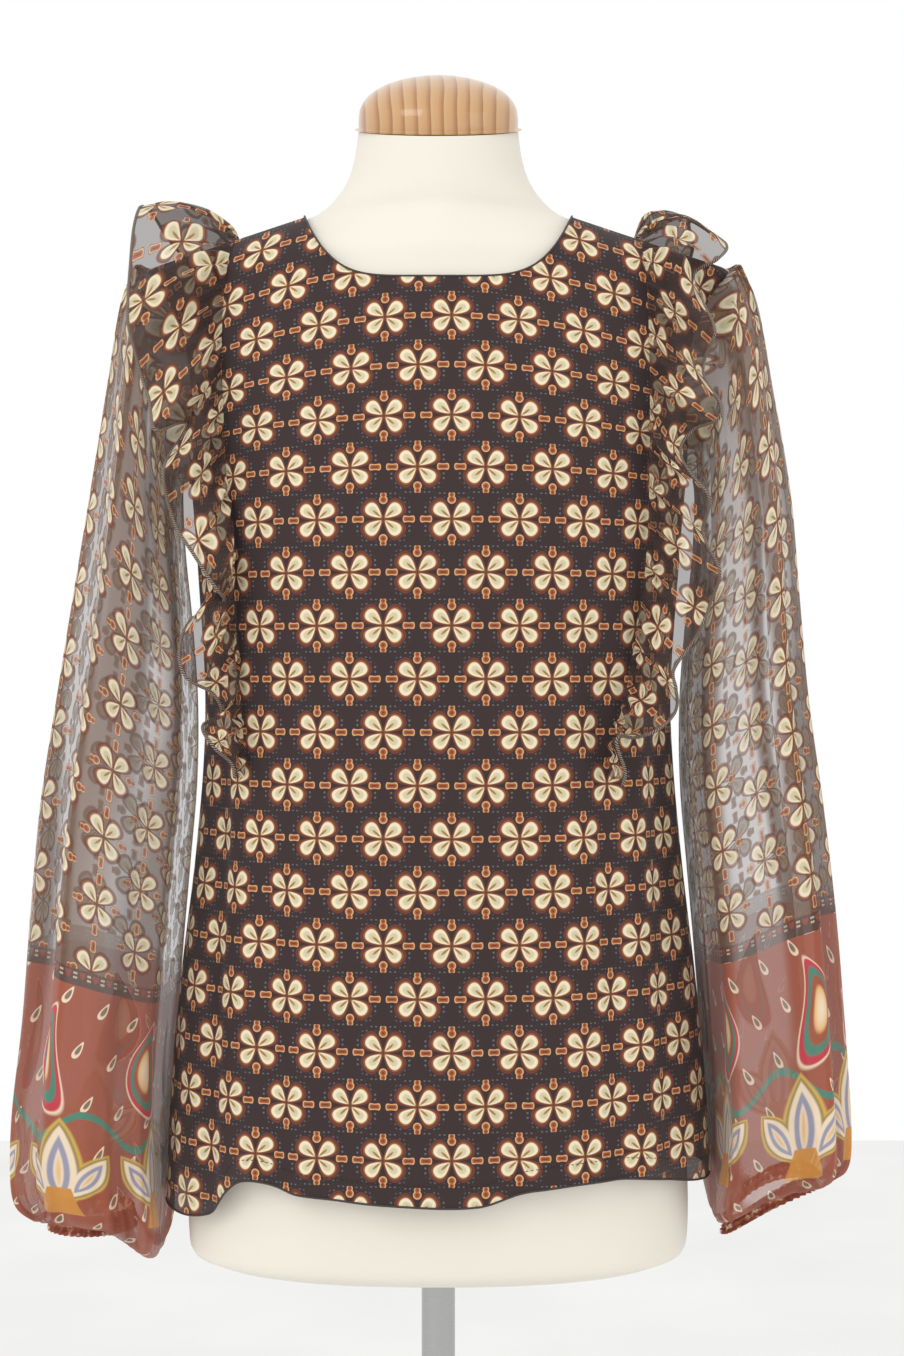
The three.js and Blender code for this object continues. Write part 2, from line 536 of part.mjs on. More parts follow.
function backButton() {
  const height = neckPointHeight - backNeckDrop - 2 * buttonRadius;
  const across = slitWidth / 2 + buttonRadius + buttonInset;
  const { point, normal } = bodySurface(across, height, 1);
  const profile = [
    new THREE.Vector2(0, 0),
    new THREE.Vector2(buttonRadius - buttonEdge, 0),
    new THREE.Vector2(buttonRadius, buttonEdge),
    new THREE.Vector2(buttonRadius, buttonThickness - buttonEdge),
    new THREE.Vector2(buttonRadius - buttonEdge, buttonThickness),
    new THREE.Vector2(0, buttonThickness),
  ];
  const made = mesh("back_button", closedLathe(profile, buttonSides), buttonShell);
  made.position.copy(point).addScaledVector(normal, buttonLift);
  made.quaternion.setFromUnitVectors(new THREE.Vector3(0, 1, 0), normal);
  return made;
}

// A lathed solid round Y with its poles and its seam closed
function closedLathe(profile, sides) {
  const positions = [];
  const index = [];
  const rings = profile.length;
  const at = (i, j) => {
    if (i === 0) return 0;
    if (i === rings - 1) return 1;
    return 2 + (i - 1) * sides + (j % sides);
  };
  positions.push(0, profile[0].y, 0, 0, profile[rings - 1].y, 0);
  for (const p of profile.slice(1, -1)) {
    for (let j = 0; j < sides; j++) {
      const turn = (2 * Math.PI * j) / sides;
      positions.push(p.x * Math.cos(turn), p.y, p.x * Math.sin(turn));
    }
  }
  for (let i = 0; i < rings - 1; i++) {
    for (let j = 0; j < sides; j++) {
      if (i > 0) index.push(at(i, j), at(i, j + 1), at(i + 1, j));
      if (i < rings - 2) index.push(at(i, j + 1), at(i + 1, j + 1), at(i + 1, j));
      if (i === 0) index.push(at(0, j), at(1, j + 1), at(1, j));
      if (i === rings - 2) index.push(at(i, j), at(i, j + 1), at(rings - 1, j));
    }
  }
  return faceOut(positions, dropThin(index));
}

// Keeps each face once, without those that have two corners in one place
function dropThin(index) {
  const kept = new Map();
  for (let k = 0; k < index.length; k += 3) {
    const [a, b, c] = [index[k], index[k + 1], index[k + 2]];
    const key = [a, b, c].sort((p, q) => p - q).join(" ");
    if (a !== b && b !== c && a !== c) kept.set(key, [a, b, c]);
  }
  return [...kept.values()].flat();
}

// One section of a sleeve or cuff as a ring of points, from the outer end round by the front
function sleeveRing(section, sign) {
  const ring = [];
  for (let column = 0; column < sleeveColumns; column++) {
    const turn = (2 * Math.PI * column) / sleeveColumns;
    const share = (1 + Math.cos(turn)) / 2;
    const sink = (1 - share) ** section.hang;
    const across = THREE.MathUtils.lerp(section.inX, section.outX, share);
    const height = THREE.MathUtils.lerp(section.outZ, section.inZ, sink);
    const depth = Math.sin(turn) > 0 ? section.front : section.back;
    const uneven = 1 - sleeveUnevenness + sleeveUnevenness * Math.sin(2 * turn + sign);
    const fold = section.folds * uneven * Math.sin(sleeveFoldWaves * turn + sleeveFoldTurn * sign);
    const wave = fold + section.gathers * Math.sin(sleeveGatherWaves * turn);
    const x = across + wave * Math.cos(turn);
    const y = -Math.sin(turn) * (depth + wave);
    ring.push(clearOfBody(new THREE.Vector3(sign * x, y, height), sign));
  }
  return ring;
}

// Moves a point sideways off the cloth body where it comes too near
function clearOfBody(point, sign) {
  const ring = bodyRing(point.z);
  const reach = point.y < 0 ? ring.front : ring.back;
  const share = Math.min(Math.abs(point.y) / reach, 1);
  const body = ring.halfWidth * (1 - share ** ring.squareness) ** (1 / ring.squareness);
  const limit = body + sleeveClearance;
  if (point.z < tipHeight && sign * point.x < limit) point.x = sign * limit;
  return point;
}

// The armhole's edge as the sleeve's first ring, set off from the body's own edge
function armholeRing(sign) {
  const { underarm, edgeAcross } = armhole(sign);
  const edgeRows = [-1, 1].map((side) =>
    Array.from({ length: upperRows + 1 }, (_, i) => bodyPoints(side, edgeAcross, lowerRows + i).outer),
  );
  const heightAt = (turn) => THREE.MathUtils.lerp(underarm, tipHeight, (1 + Math.cos(turn)) / 2);
  const sideAt = (turn) => (Math.sin(turn) >= 0 ? -1 : 1);
  const onEdge = (turn) => bodySurface(edgeAcross(heightAt(turn)), heightAt(turn), sideAt(turn));
  const step = (2 * Math.PI) / sleeveColumns;
  const corners = new Map();
  edgeRows.forEach((rows, half) => {
    for (const row of rows) {
      const rise = THREE.MathUtils.clamp((row.z - underarm) / (tipHeight - underarm), 0, 1);
      const column = Math.round(Math.acos(2 * rise - 1) / step);
      corners.set(half === 0 ? column : (sleeveColumns - column) % sleeveColumns, row);
    }
  });
  const ring = [];
  for (let column = 0; column < sleeveColumns; column++) {
    const turn = step * column;
    const rows = edgeRows[sideAt(turn) < 0 ? 0 : 1];
    let i = 0;
    while (i < upperRows - 1 && rows[i + 1].z < heightAt(turn)) i++;
    const t = THREE.MathUtils.clamp((heightAt(turn) - rows[i].z) / (rows[i + 1].z - rows[i].z), 0, 1);
    const tangent = onEdge(turn + turnStep).point.sub(onEdge(turn - turnStep).point);
    const away = tangent.cross(onEdge(turn).normal).normalize().multiplyScalar(-sign * armholeGap);
    away.x += sign * armholeGap;
    const spot = corners.has(column) ? corners.get(column).clone() : rows[i].clone().lerp(rows[i + 1], t);
    ring.push(spot.add(away));
  }
  return ring;
}

// The inner points of a tube of rings, one thickness inside its outer points
function insideTube(rings, thickness, sign) {
  return rings.map((ring, i) =>
    ring.map((point, j) => {
      const next = ring[(j + 1) % ring.length];
      const last = ring[(j + ring.length - 1) % ring.length];
      const above = rings[Math.max(i - 1, 0)][j];
      const below = rings[Math.min(i + 1, rings.length - 1)][j];
      const round = next.clone().sub(last);
      const down = below.clone().sub(above);
      return point.clone().addScaledVector(round.cross(down).normalize(), -sign * thickness);
    }),
  );
}

function sleeve(name, sign, sections) {
  const outer = [armholeRing(sign), ...sections.map((section) => sleeveRing(section, sign))];
  return mesh(name, wallGeometry(outer, insideTube(outer, clothThickness, sign), true), sheerCloth);
}

function cuff(name, sign, sections) {
  const outer = sections.map((section) => sleeveRing(section, sign));
  return mesh(name, wallGeometry(outer, insideTube(outer, clothThickness, sign), true), cuffCloth);
}

// The seam line that carries a ruffle, as evenly spaced places with the surface's normals
function ruffleBase(sign, count) {
  const ridge = shoulderHeight(seamAcross(sign, ruffleRidgeHeight));
  const line = [];
  for (let i = 0; i <= ruffleBaseSteps; i++) {
    const left = 1 - i / ruffleBaseSteps;
    line.push({ side: 1, height: THREE.MathUtils.lerp(ridge, ruffleBackHeight, left ** 2) });
  }
  for (let i = 1; i <= 2 * ruffleBaseSteps; i++) {
    const run = i / (2 * ruffleBaseSteps);
    line.push({ side: -1, height: THREE.MathUtils.lerp(ridge, ruffleEndHeight, run ** 2) });
  }
  const spots = line.map(({ side, height }) => bodySurface(seamAcross(sign, height), height, side));
  const lengths = [0];
  for (let i = 1; i < spots.length; i++) {
    lengths.push(lengths[i - 1] + spots[i].point.distanceTo(spots[i - 1].point));
  }
  const places = [];
  let k = 0;
  for (let i = 0; i <= count; i++) {
    const want = (lengths[lengths.length - 1] * i) / count;
    while (k < lengths.length - 2 && lengths[k + 1] < want) k++;
    const t = (want - lengths[k]) / (lengths[k + 1] - lengths[k]);
    const point = spots[k].point.clone().lerp(spots[k + 1].point, t);
    places.push({ point, normal: spots[k].normal.clone().lerp(spots[k + 1].normal, t).normalize() });
  }
  return places;
}

function ruffle(name, sign, edge) {
  const places = ruffleBase(sign, ruffleRows);
  const outer = places.map(({ point, normal }, i) => {
    const read = (column) => along(edge, "share", i / ruffleRows, column);
    const start = point.clone().addScaledVector(normal, ruffleLift);
    const out = new THREE.Vector3(read("x"), read("y"), read("z")).sub(start);
    const before = places[Math.max(i - 1, 0)].point;
    const tangent = places[Math.min(i + 1, ruffleRows)].point.clone().sub(before);
    const lift = tangent.cross(out).multiplyScalar(sign).normalize();
    const row = [];
    for (let j = 0; j <= ruffleColumns; j++) {
      const s = j / ruffleColumns;
      const belly = read("belly") * Math.sin(Math.PI * s);
      row.push(start.clone().addScaledVector(out, s).addScaledVector(lift, belly));
    }
    return row;
  });
  const inner = outer.map((row, i) =>
    row.map((p, j) => {
      const across = row[Math.min(j + 1, ruffleColumns)].clone().sub(row[Math.max(j - 1, 0)]);
      const down = outer[Math.min(i + 1, ruffleRows)][j].clone().sub(outer[Math.max(i - 1, 0)][j]);
      return p.clone().addScaledVector(down.cross(across).normalize(), sign * ruffleThickness);
    }),
  );
  return mesh(name, wallGeometry(outer, inner, false), sheerCloth);
}

// The dress form's torso with its neck, closed above and below by flat faces
function torso() {
  const positions = [];
  const index = [];
  for (const ring of formRings) {
    for (let column = 0; column < formColumns; column++) {
      const turn = (2 * Math.PI * column) / formColumns;
      const power = 2 / ring.squareness;
      const x = ring.halfWidth * Math.sign(Math.sin(turn)) * Math.abs(Math.sin(turn)) ** power;
      const reach = Math.cos(turn) > 0 ? ring.front : ring.back;
      const y = -reach * Math.sign(Math.cos(turn)) * Math.abs(Math.cos(turn)) ** power;
      positions.push(x, y, ring.height + ring.lean * y);
    }
  }
  const last = (formRings.length - 1) * formColumns;
  for (let i = 0; i < last; i += formColumns) {
    for (let j = 0; j < formColumns; j++) {
      const k = (j + 1) % formColumns;
      index.push(i + j, i + k, i + formColumns + j, i + k, i + formColumns + k, i + formColumns + j);
    }
  }
  for (let j = 1; j < formColumns - 1; j++) {
    index.push(0, j + 1, j, last, last + j, last + j + 1);
  }
  return mesh("form_torso", faceOut(positions, index), formJersey);
}

function neckCap() {
  const profile = capOutline.map(({ radius, height }) => new THREE.Vector2(radius, height));
  const made = mesh("neck_cap", closedLathe(profile, roundSides), lacqueredPine);
  const top = formRings[formRings.length - 1].height;
  const up = new THREE.Vector3(0, -Math.sin(capLean), Math.cos(capLean));
  made.quaternion.setFromUnitVectors(new THREE.Vector3(0, 1, 0), up);
  made.position.set(0, 0, top).addScaledVector(up, partGap);
  return made;
}

function uprightLathe(name, outline, material) {
  const profile = outline.map(([radius, height]) => new THREE.Vector2(radius, height));
  const made = mesh(name, closedLathe(profile, roundSides), material);
  made.rotation.x = Math.PI / 2;
  return made;
}

function standBase() {
  const outline = [
    [0, 0],
    [baseRadius, 0],
    [baseRadius, baseThickness - baseBevel],
    [baseRadius - baseBevel, baseThickness],
    [0, baseThickness],
  ];
  return uprightLathe("stand_base", outline, brushedSteel);
}

function standCollar() {
  const foot = baseThickness + partGap;
  const outline = [
    [0, foot],
    [collarRadius, foot],
    [collarRadius - baseBevel, collarHeight],
    [0, collarHeight],
  ];
  return uprightLathe("stand_collar", outline, brushedSteel);
}

function standPole() {
  const foot = collarHeight + partGap;
  const head = formRings[0].height - partGap;
  const outline = [
    [0, foot],
    [poleRadius, foot],
    [poleRadius, head],
    [0, head],
  ];
  return uprightLathe("stand_pole", outline, brushedSteel);
}

const blouse = new THREE.Group();
blouse.add(
  frontPanel(),
  sideFrontPanel("side_front_right", -1),
  sideFrontPanel("side_front_left", 1),
  backPanel(),
  backButton(),
  sleeve("sleeve_right", -1, rightSleeveSections),
  sleeve("sleeve_left", 1, leftSleeveSections),
  cuff("cuff_right", -1, rightCuffSections),
  cuff("cuff_left", 1, leftCuffSections),
  ruffle("ruffle_right", -1, rightRuffleEdge),
  ruffle("ruffle_left", 1, leftRuffleEdge),
);

const dressForm = new THREE.Group();
dressForm.add(torso(), neckCap(), standPole(), standCollar(), standBase());

const part = new THREE.Group();
part.add(blouse, dressForm);

export default part;
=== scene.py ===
# A long-sleeved chiffon blouse with ruffled princess seams on a limbless dress form.
# Metres, +Z up, and the front faces -Y.
import math
from functools import lru_cache
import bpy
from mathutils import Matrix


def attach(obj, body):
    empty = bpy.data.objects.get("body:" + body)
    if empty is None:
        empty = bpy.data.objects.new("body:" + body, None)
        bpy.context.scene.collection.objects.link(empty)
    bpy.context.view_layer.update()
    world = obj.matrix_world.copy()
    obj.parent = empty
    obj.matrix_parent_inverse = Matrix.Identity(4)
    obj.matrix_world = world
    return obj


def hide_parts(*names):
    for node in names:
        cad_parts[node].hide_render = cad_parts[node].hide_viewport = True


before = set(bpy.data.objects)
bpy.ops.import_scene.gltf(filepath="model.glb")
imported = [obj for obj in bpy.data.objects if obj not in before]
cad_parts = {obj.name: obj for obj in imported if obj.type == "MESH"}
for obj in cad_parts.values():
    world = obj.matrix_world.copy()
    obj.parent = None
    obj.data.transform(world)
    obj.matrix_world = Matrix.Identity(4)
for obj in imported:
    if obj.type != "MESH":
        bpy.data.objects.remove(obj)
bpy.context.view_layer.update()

from types import SimpleNamespace

import bmesh
import bpy
from mathutils import Vector, noise


def table(columns, *rows):
    return [dict(zip(columns.split(), row)) for row in rows]


# A smooth curve through every column of a table whose rows are ordered by the first column
def along(rows, value):
    names = list(rows[0])
    key = names[0]
    last = len(rows) - 1
    i = 0
    while i < last - 1 and value > rows[i + 1][key]:
        i += 1
    step = rows[i + 1][key] - rows[i][key]
    t = min(max((value - rows[i][key]) / step, 0), 1)

    def slope(a, b, name):
        return (rows[b][name] - rows[a][name]) / (rows[b][key] - rows[a][key]) * step

    found = {}
    for name in names[1:]:
        start = rows[i][name]
        rise = rows[i + 1][name] - start
        first = slope(max(i - 1, 0), i + 1, name)
        final = slope(i, min(i + 2, last), name)
        bend = 3 * rise - 2 * first - final + t * (first + final - 2 * rise)
        found[name] = start + t * (first + t * bend)
    return SimpleNamespace(**found)


def mix(a, b, share):
    return a + (b - a) * share


def clamp(value, low=0.0, high=1.0):
    return min(max(value, low), high)


def smooth(value, low, high):
    t = clamp((value - low) / (high - low))
    return t * t * (3 - 2 * t)


# Soft, repeatable unevenness from -1 to 1
def uneven(x, y, z=0.0):
    return noise.noise(Vector((x, y, z)))


# Shapes that all the cloth shares
bodyRings = table(
    "height halfWidth front back squareness",
    (0.52, 0.179, 0.135, 0.128, 2.3),
    (0.6, 0.176, 0.133, 0.125, 2.3),
    (0.68, 0.169, 0.13, 0.119, 2.3),
    (0.77, 0.159, 0.13, 0.111, 2.3),
    (0.86, 0.153, 0.131, 0.107, 2.3),
    (0.94, 0.157, 0.132, 0.109, 2.3),
    (1.01, 0.163, 0.122, 0.112, 2.3),
    (1.06, 0.17, 0.108, 0.11, 2.3),
    (1.1, 0.178, 0.092, 0.104, 2.2),
    (1.13, 0.185, 0.078, 0.096, 2.1),
    (1.147, 0.19, 0.073, 0.09, 1.8),
    (1.162, 0.145, 0.07, 0.081, 1.6),
    (1.181, 0.088, 0.066, 0.072, 1.45),
)
formRings = table(
    "height halfWidth front back squareness lean",
    (0.5, 0.15, 0.1, 0.096, 2.3, 0),
    (0.503, 0.159, 0.108, 0.104, 2.3, 0),
    (0.512, 0.163, 0.113, 0.108, 2.3, 0),
    (0.56, 0.163, 0.116, 0.11, 2.3, 0),
    (0.62, 0.157, 0.117, 0.109, 2.3, 0),
    (0.7, 0.142, 0.107, 0.099, 2.3, 0),
    (0.78, 0.13, 0.1, 0.091, 2.3, 0),
    (0.86, 0.135, 0.108, 0.092, 2.3, 0),
    (0.93, 0.147, 0.119, 0.098, 2.3, 0),
    (0.97, 0.15, 0.118, 0.102, 2.3, 0),
    (1.01, 0.153, 0.109, 0.103, 2.3, 0),
    (1.06, 0.161, 0.095, 0.1, 2.3, 0),
    (1.1, 0.169, 0.082, 0.094, 2.2, 0),
    (1.13, 0.176, 0.072, 0.087, 2.1, 0),
    (1.141, 0.1825, 0.068, 0.081, 1.85, 0),
    (1.1466, 0.1835, 0.067, 0.0775, 1.75, 0),
    (1.156, 0.156, 0.065, 0.074, 1.65, 0),
    (1.165, 0.1286, 0.06, 0.068, 1.55, 0),
    (1.173, 0.1044, 0.056, 0.061, 1.5, 0),
    (1.179, 0.0856, 0.053, 0.057, 1.55, 0),
    (1.184, 0.0765, 0.053, 0.056, 1.75, 0.03),
    (1.192, 0.068, 0.054, 0.056, 1.95, 0.09),
    (1.204, 0.06, 0.055, 0.056, 2, 0.16),
    (1.22, 0.055, 0.055, 0.055, 2, 0.24),
    (1.238, 0.0525, 0.054, 0.054, 2, 0.29),
)
seamRows = table(
    "height right left",
    (0.52, 0.117, 0.13),
    (0.65, 0.117, 0.129),
    (0.73, 0.12, 0.125),
    (0.78, 0.121, 0.116),
    (0.82, 0.119, 0.108),
    (0.87, 0.123, 0.117),
    (0.95, 0.128, 0.129),
    (1.04, 0.134, 0.133),
    (1.11, 0.136, 0.133),
    (1.17, 0.131, 0.13),
)
hemRows = table(
    "across front back",
    (-0.18, 0.538, 0.538),
    (-0.148, 0.541, 0.541),
    (-0.122, 0.566, 0.549),
    (-0.085, 0.561, 0.553),
    (-0.03, 0.557, 0.555),
    (0.025, 0.556, 0.556),
    (0.06, 0.565, 0.553),
    (0.125, 0.567, 0.556),
    (0.18, 0.554, 0.554),
)
frontFolds = table(
    "top bottom acrossTop acrossBottom width depth",
    (0.94, 0.6, 0.098, 0.117, 0.011, 0.005),
    (0.9, 0.56, 0.14, 0.15, 0.009, 0.005),
    (0.88, 0.56, -0.138, -0.146, 0.009, 0.006),
    (0.8, 0.56, -0.104, -0.1, 0.01, 0.004),
    (0.76, 0.556, 0.038, 0.046, 0.014, 0.004),
    (0.72, 0.556, -0.052, -0.064, 0.014, 0.003),
)
backFolds = table(
    "top bottom acrossTop acrossBottom width depth",
    (0.9, 0.556, -0.096, -0.108, 0.012, 0.006),
    (0.86, 0.556, 0.092, 0.112, 0.012, 0.006),
    (0.82, 0.556, -0.034, -0.044, 0.014, 0.005),
    (0.78, 0.556, 0.04, 0.036, 0.014, 0.004),
)
rightSleeveSections = table(
    "row outX outZ inX inZ front back hang folds gathers",
    (0, 0.197, 1.149, 0.169, 1.006, 0.054, 0.056, 1, 0, 0.0016),
    (1, 0.205, 1.124, 0.171, 0.99, 0.058, 0.061, 1, 0.0015, 0.0008),
    (2, 0.213, 1.066, 0.17, 0.955, 0.06, 0.066, 1, 0.003, 0),
    (3, 0.222, 1, 0.166, 0.91, 0.062, 0.072, 1, 0.005, 0),
    (4, 0.232, 0.932, 0.163, 0.86, 0.066, 0.079, 1, 0.0065, 0),
    (5, 0.241, 0.866, 0.164, 0.806, 0.074, 0.085, 1, 0.008, 0),
    (6, 0.25, 0.798, 0.169, 0.75, 0.082, 0.089, 1, 0.009, 0),
    (7, 0.256, 0.728, 0.174, 0.694, 0.086, 0.092, 1, 0.009, 0),
    (8, 0.261, 0.66, 0.178, 0.638, 0.088, 0.093, 1, 0.009, 0),
    (9, 0.268, 0.6, 0.18, 0.588, 0.088, 0.092, 1.3, 0.008, 0.0005),
    (10, 0.271, 0.558, 0.179, 0.545, 0.08, 0.084, 2, 0.006, 0.001),
    (11, 0.27, 0.538, 0.178, 0.518, 0.066, 0.07, 3, 0.004, 0.0018),
    (12, 0.264, 0.528, 0.182, 0.502, 0.052, 0.054, 4, 0.002, 0.002),
    (13, 0.26, 0.526, 0.189, 0.498, 0.042, 0.043, 4, 0.001, 0.0018),
    (14, 0.257, 0.5275, 0.196, 0.511, 0.036, 0.036, 4, 0, 0.0016),
    (15, 0.254, 0.53, 0.202, 0.53, 0.031, 0.031, 1, 0, 0.0015),
)
rightCuffSections = table(
    "row outX outZ inX inZ front back hang folds gathers",
    (0, 0.254, 0.529, 0.202, 0.529, 0.031, 0.031, 1, 0, 0.0015),
    (1, 0.254, 0.523, 0.202, 0.523, 0.031, 0.031, 1, 0, 0.0011),
    (2, 0.256, 0.516, 0.2, 0.516, 0.033, 0.033, 1, 0, 0.0019),
)
leftSleeveSections = table(
    "row outX outZ inX inZ front back hang folds gathers",
    (0, 0.197, 1.149, 0.169, 1.009, 0.054, 0.056, 1, 0, 0.0016),
    (1, 0.207, 1.12, 0.171, 0.992, 0.058, 0.061, 1, 0.0015, 0.0008),
    (2, 0.216, 1.062, 0.17, 0.955, 0.06, 0.066, 1, 0.003, 0),
    (3, 0.225, 0.996, 0.166, 0.91, 0.062, 0.072, 1, 0.005, 0),
    (4, 0.229, 0.93, 0.163, 0.86, 0.066, 0.079, 1, 0.0065, 0),
    (5, 0.233, 0.864, 0.164, 0.806, 0.074, 0.085, 1, 0.008, 0),
    (6, 0.241, 0.796, 0.169, 0.75, 0.082, 0.089, 1, 0.009, 0),
    (7, 0.249, 0.726, 0.174, 0.694, 0.086, 0.092, 1, 0.009, 0),
    (8, 0.254, 0.664, 0.178, 0.64, 0.088, 0.093, 1, 0.009, 0),
    (9, 0.259, 0.61, 0.18, 0.592, 0.086, 0.09, 1, 0.008, 0.0005),
    (10, 0.262, 0.574, 0.179, 0.56, 0.078, 0.082, 1, 0.006, 0.001),
    (11, 0.261, 0.558, 0.177, 0.54, 0.062, 0.066, 1.4, 0.004, 0.0018),
    (12, 0.256, 0.551, 0.179, 0.528, 0.048, 0.05, 1.7, 0.002, 0.002),
    (13, 0.2525, 0.55, 0.183, 0.521, 0.04, 0.04, 1.9, 0.001, 0.0018),
    (14, 0.25, 0.552, 0.187, 0.52, 0.035, 0.035, 2, 0, 0.0016),
    (15, 0.247, 0.555, 0.1925, 0.524, 0.031, 0.031, 2, 0, 0.0015),
)
leftCuffSections = table(
    "row outX outZ inX inZ front back hang folds gathers",
    (0, 0.247, 0.5545, 0.1926, 0.5235, 0.031, 0.031, 2, 0, 0.0015),
    (1, 0.2473, 0.549, 0.1905, 0.5175, 0.031, 0.031, 2, 0, 0.0011),
    (2, 0.2495, 0.543, 0.1875, 0.511, 0.033, 0.033, 2, 0, 0.0019),
)
rightRuffleEdge = table(
    "share x y z belly",
    (0, -0.137, 0.078, 1.12, 0.007),
    (0.06, -0.165, 0.076, 1.15, 0.0075),
    (0.12, -0.188, 0.05, 1.182, 0.008),
    (0.18, -0.194, 0.008, 1.191, 0.009),
    (0.24, -0.1967, -0.03, 1.1697, 0.01),
    (0.28, -0.196, -0.062, 1.1273, 0.01),
    (0.33, -0.1934, -0.08, 1.0997, 0.009),
    (0.37, -0.1877, -0.072, 1.0714, 0.008),
    (0.41, -0.1795, -0.09, 1.0507, 0.007),
    (0.445, -0.1727, -0.11, 1.0298, 0.0069),
    (0.475, -0.157, -0.08, 1.0381, 0.0068),
    (0.51, -0.1656, -0.09, 1.0176, 0.0067),
    (0.55, -0.1678, -0.114, 1.0001, 0.0066),
    (0.59, -0.1634, -0.1, 0.9748, 0.0064),
    (0.63, -0.1502, -0.116, 0.9539, 0.0063),
    (0.665, -0.1344, -0.122, 0.9298, 0.0062),
    (0.69, -0.1331, -0.098, 0.9222, 0.0061),
    (0.72, -0.1517, -0.1, 0.9141, 0.0061),
    (0.76, -0.157, -0.116, 0.8973, 0.0059),
    (0.8, -0.1525, -0.124, 0.8776, 0.0058),
    (0.84, -0.1393, -0.108, 0.869, 0.0057),
    (0.87, -0.1334, -0.098, 0.8536, 0.0056),
    (0.9, -0.144, -0.106, 0.8468, 0.0055),
    (0.94, -0.1369, -0.118, 0.8359, 0.0033),
    (0.97, -0.1274, -0.108, 0.8253, 0.0017),
    (1, -0.124, -0.103, 0.815, 0),
)
leftRuffleEdge = table(
    "share x y z belly",
    (0, 0.137, 0.078, 1.12, 0.007),
    (0.06, 0.163, 0.074, 1.145, 0.008),
    (0.12, 0.172, 0.05, 1.168, 0.009),
    (0.17, 0.1676, 0.01, 1.1806, 0.012),
    (0.21, 0.1865, -0.025, 1.1605, 0.014),
    (0.25, 0.1785, -0.052, 1.1451, 0.014),
    (0.28, 0.1646, -0.046, 1.1366, 0.013),
    (0.31, 0.1662, -0.068, 1.1182, 0.012),
    (0.35, 0.1722, -0.09, 1.0927, 0.0103),
    (0.38, 0.168, -0.076, 1.0798, 0.009),
    (0.41, 0.1667, -0.082, 1.0645, 0.0081),
    (0.44, 0.1752, -0.106, 1.0449, 0.0073),
    (0.465, 0.1726, -0.112, 1.0342, 0.007),
    (0.49, 0.1601, -0.082, 1.0317, 0.0069),
    (0.515, 0.1518, -0.088, 1.0203, 0.0068),
    (0.545, 0.1548, -0.108, 1.0034, 0.0067),
    (0.58, 0.1671, -0.118, 0.9849, 0.0066),
    (0.61, 0.1639, -0.1, 0.9698, 0.0065),
    (0.64, 0.1666, -0.108, 0.9585, 0.0064),
    (0.67, 0.1727, -0.12, 0.9422, 0.0063),
    (0.7, 0.1686, -0.102, 0.9256, 0.0062),
    (0.73, 0.1622, -0.116, 0.9114, 0.0061),
    (0.76, 0.1575, -0.104, 0.9004, 0.006),
    (0.79, 0.1442, -0.116, 0.8831, 0.0059),
    (0.82, 0.1451, -0.124, 0.8697, 0.0058),
    (0.86, 0.1459, -0.11, 0.8562, 0.0056),
    (0.89, 0.1335, -0.124, 0.8446, 0.0055),
    (0.92, 0.1204, -0.106, 0.8395, 0.0044),
    (0.95, 0.1096, -0.122, 0.839, 0.0028),
    (0.98, 0.1154, -0.112, 0.8205, 0.0011),
    (1, 0.114, -0.107, 0.811, 0),
)
capOutline = table(
    "radius height",
    (0, 0),
    (0.051, 0),
    (0.0525, 0.002),
    (0.0525, 0.008),
    (0.051, 0.015),
    (0.046, 0.022),
    (0.036, 0.0285),
    (0.022, 0.033),
    (0.009, 0.035),
    (0, 0.0354),
)

neck = {
    "halfWidth": 0.088,
    "pointHeight": 1.181,
    "frontDrop": 0.051,
    "backDrop": 0.013,
    "shoulderRun": 3,
    "tipHeight": 1.147,
    "frontPower": 5,
    "backPower": 3,
}
armholes = {"underarmShare": 0.766, "depthShare": 0.45, "roundness": 0.6}
clothLie = {"skin": 0.0004, "foldFade": 0.09, "sideFade": 0.03, "wrinkle": 0.0012, "step": 0.0005}


def reachOf(ring, side):
    return ring.front if side < 0 else ring.back


@lru_cache(maxsize=None)
def bodyRing(height):
    ring = along(bodyRings, height)
    if height > neck["tipHeight"]:
        ring.halfWidth = max(neck["halfWidth"] + (neck["pointHeight"] - height) * neck["shoulderRun"], 0.001)
    return ring


def foldDepth(folds, across, height):
    depth = 0
    for fold in folds:
        down = clamp((fold["top"] - height) / (fold["top"] - fold["bottom"]))
        middle = mix(fold["acrossTop"], fold["acrossBottom"], down)
        fade = smooth(fold["top"] - height, 0, clothLie["foldFade"])
        depth += fold["depth"] * fade * math.exp(-(((across - middle) / fold["width"]) ** 2))
    return depth


# The cloth body's surface and its normal, on the front (side -1) or the back (side 1)
def bodySurface(across, height, side):
    ring = bodyRing(height)
    reach = reachOf(ring, side)
    power = ring.squareness
    shareX = abs(across) / ring.halfWidth
    shareY = max(1 - min(shareX, 1) ** power, 0) ** (1 / power)
    depth = reach * shareY

    def level(z):
        other = bodyRing(round(z, 6))
        sideways = (abs(across) / other.halfWidth) ** other.squareness
        return sideways + (depth / reachOf(other, side)) ** other.squareness

    normal = Vector(
        (
            math.copysign(power * shareX ** (power - 1) / ring.halfWidth, across),
            side * power * shareY ** (power - 1) / reach,
            (level(height + clothLie["step"]) - level(height - clothLie["step"])) / (2 * clothLie["step"]),
        )
    ).normalized()
    sink = foldDepth(frontFolds if side < 0 else backFolds, across, height)
    crease = clothLie["wrinkle"] * uneven(across * 24, height * 7, side) * smooth(1.15 - height, 0, 0.1)
    calm = smooth(depth, 0, clothLie["sideFade"])
    point = Vector((across, side * depth, height))
    return point - normal * ((sink + crease + clothLie["skin"]) * calm), normal


def shoulderHeight(across):
    return neck["pointHeight"] - (abs(across) - neck["halfWidth"]) / neck["shoulderRun"]


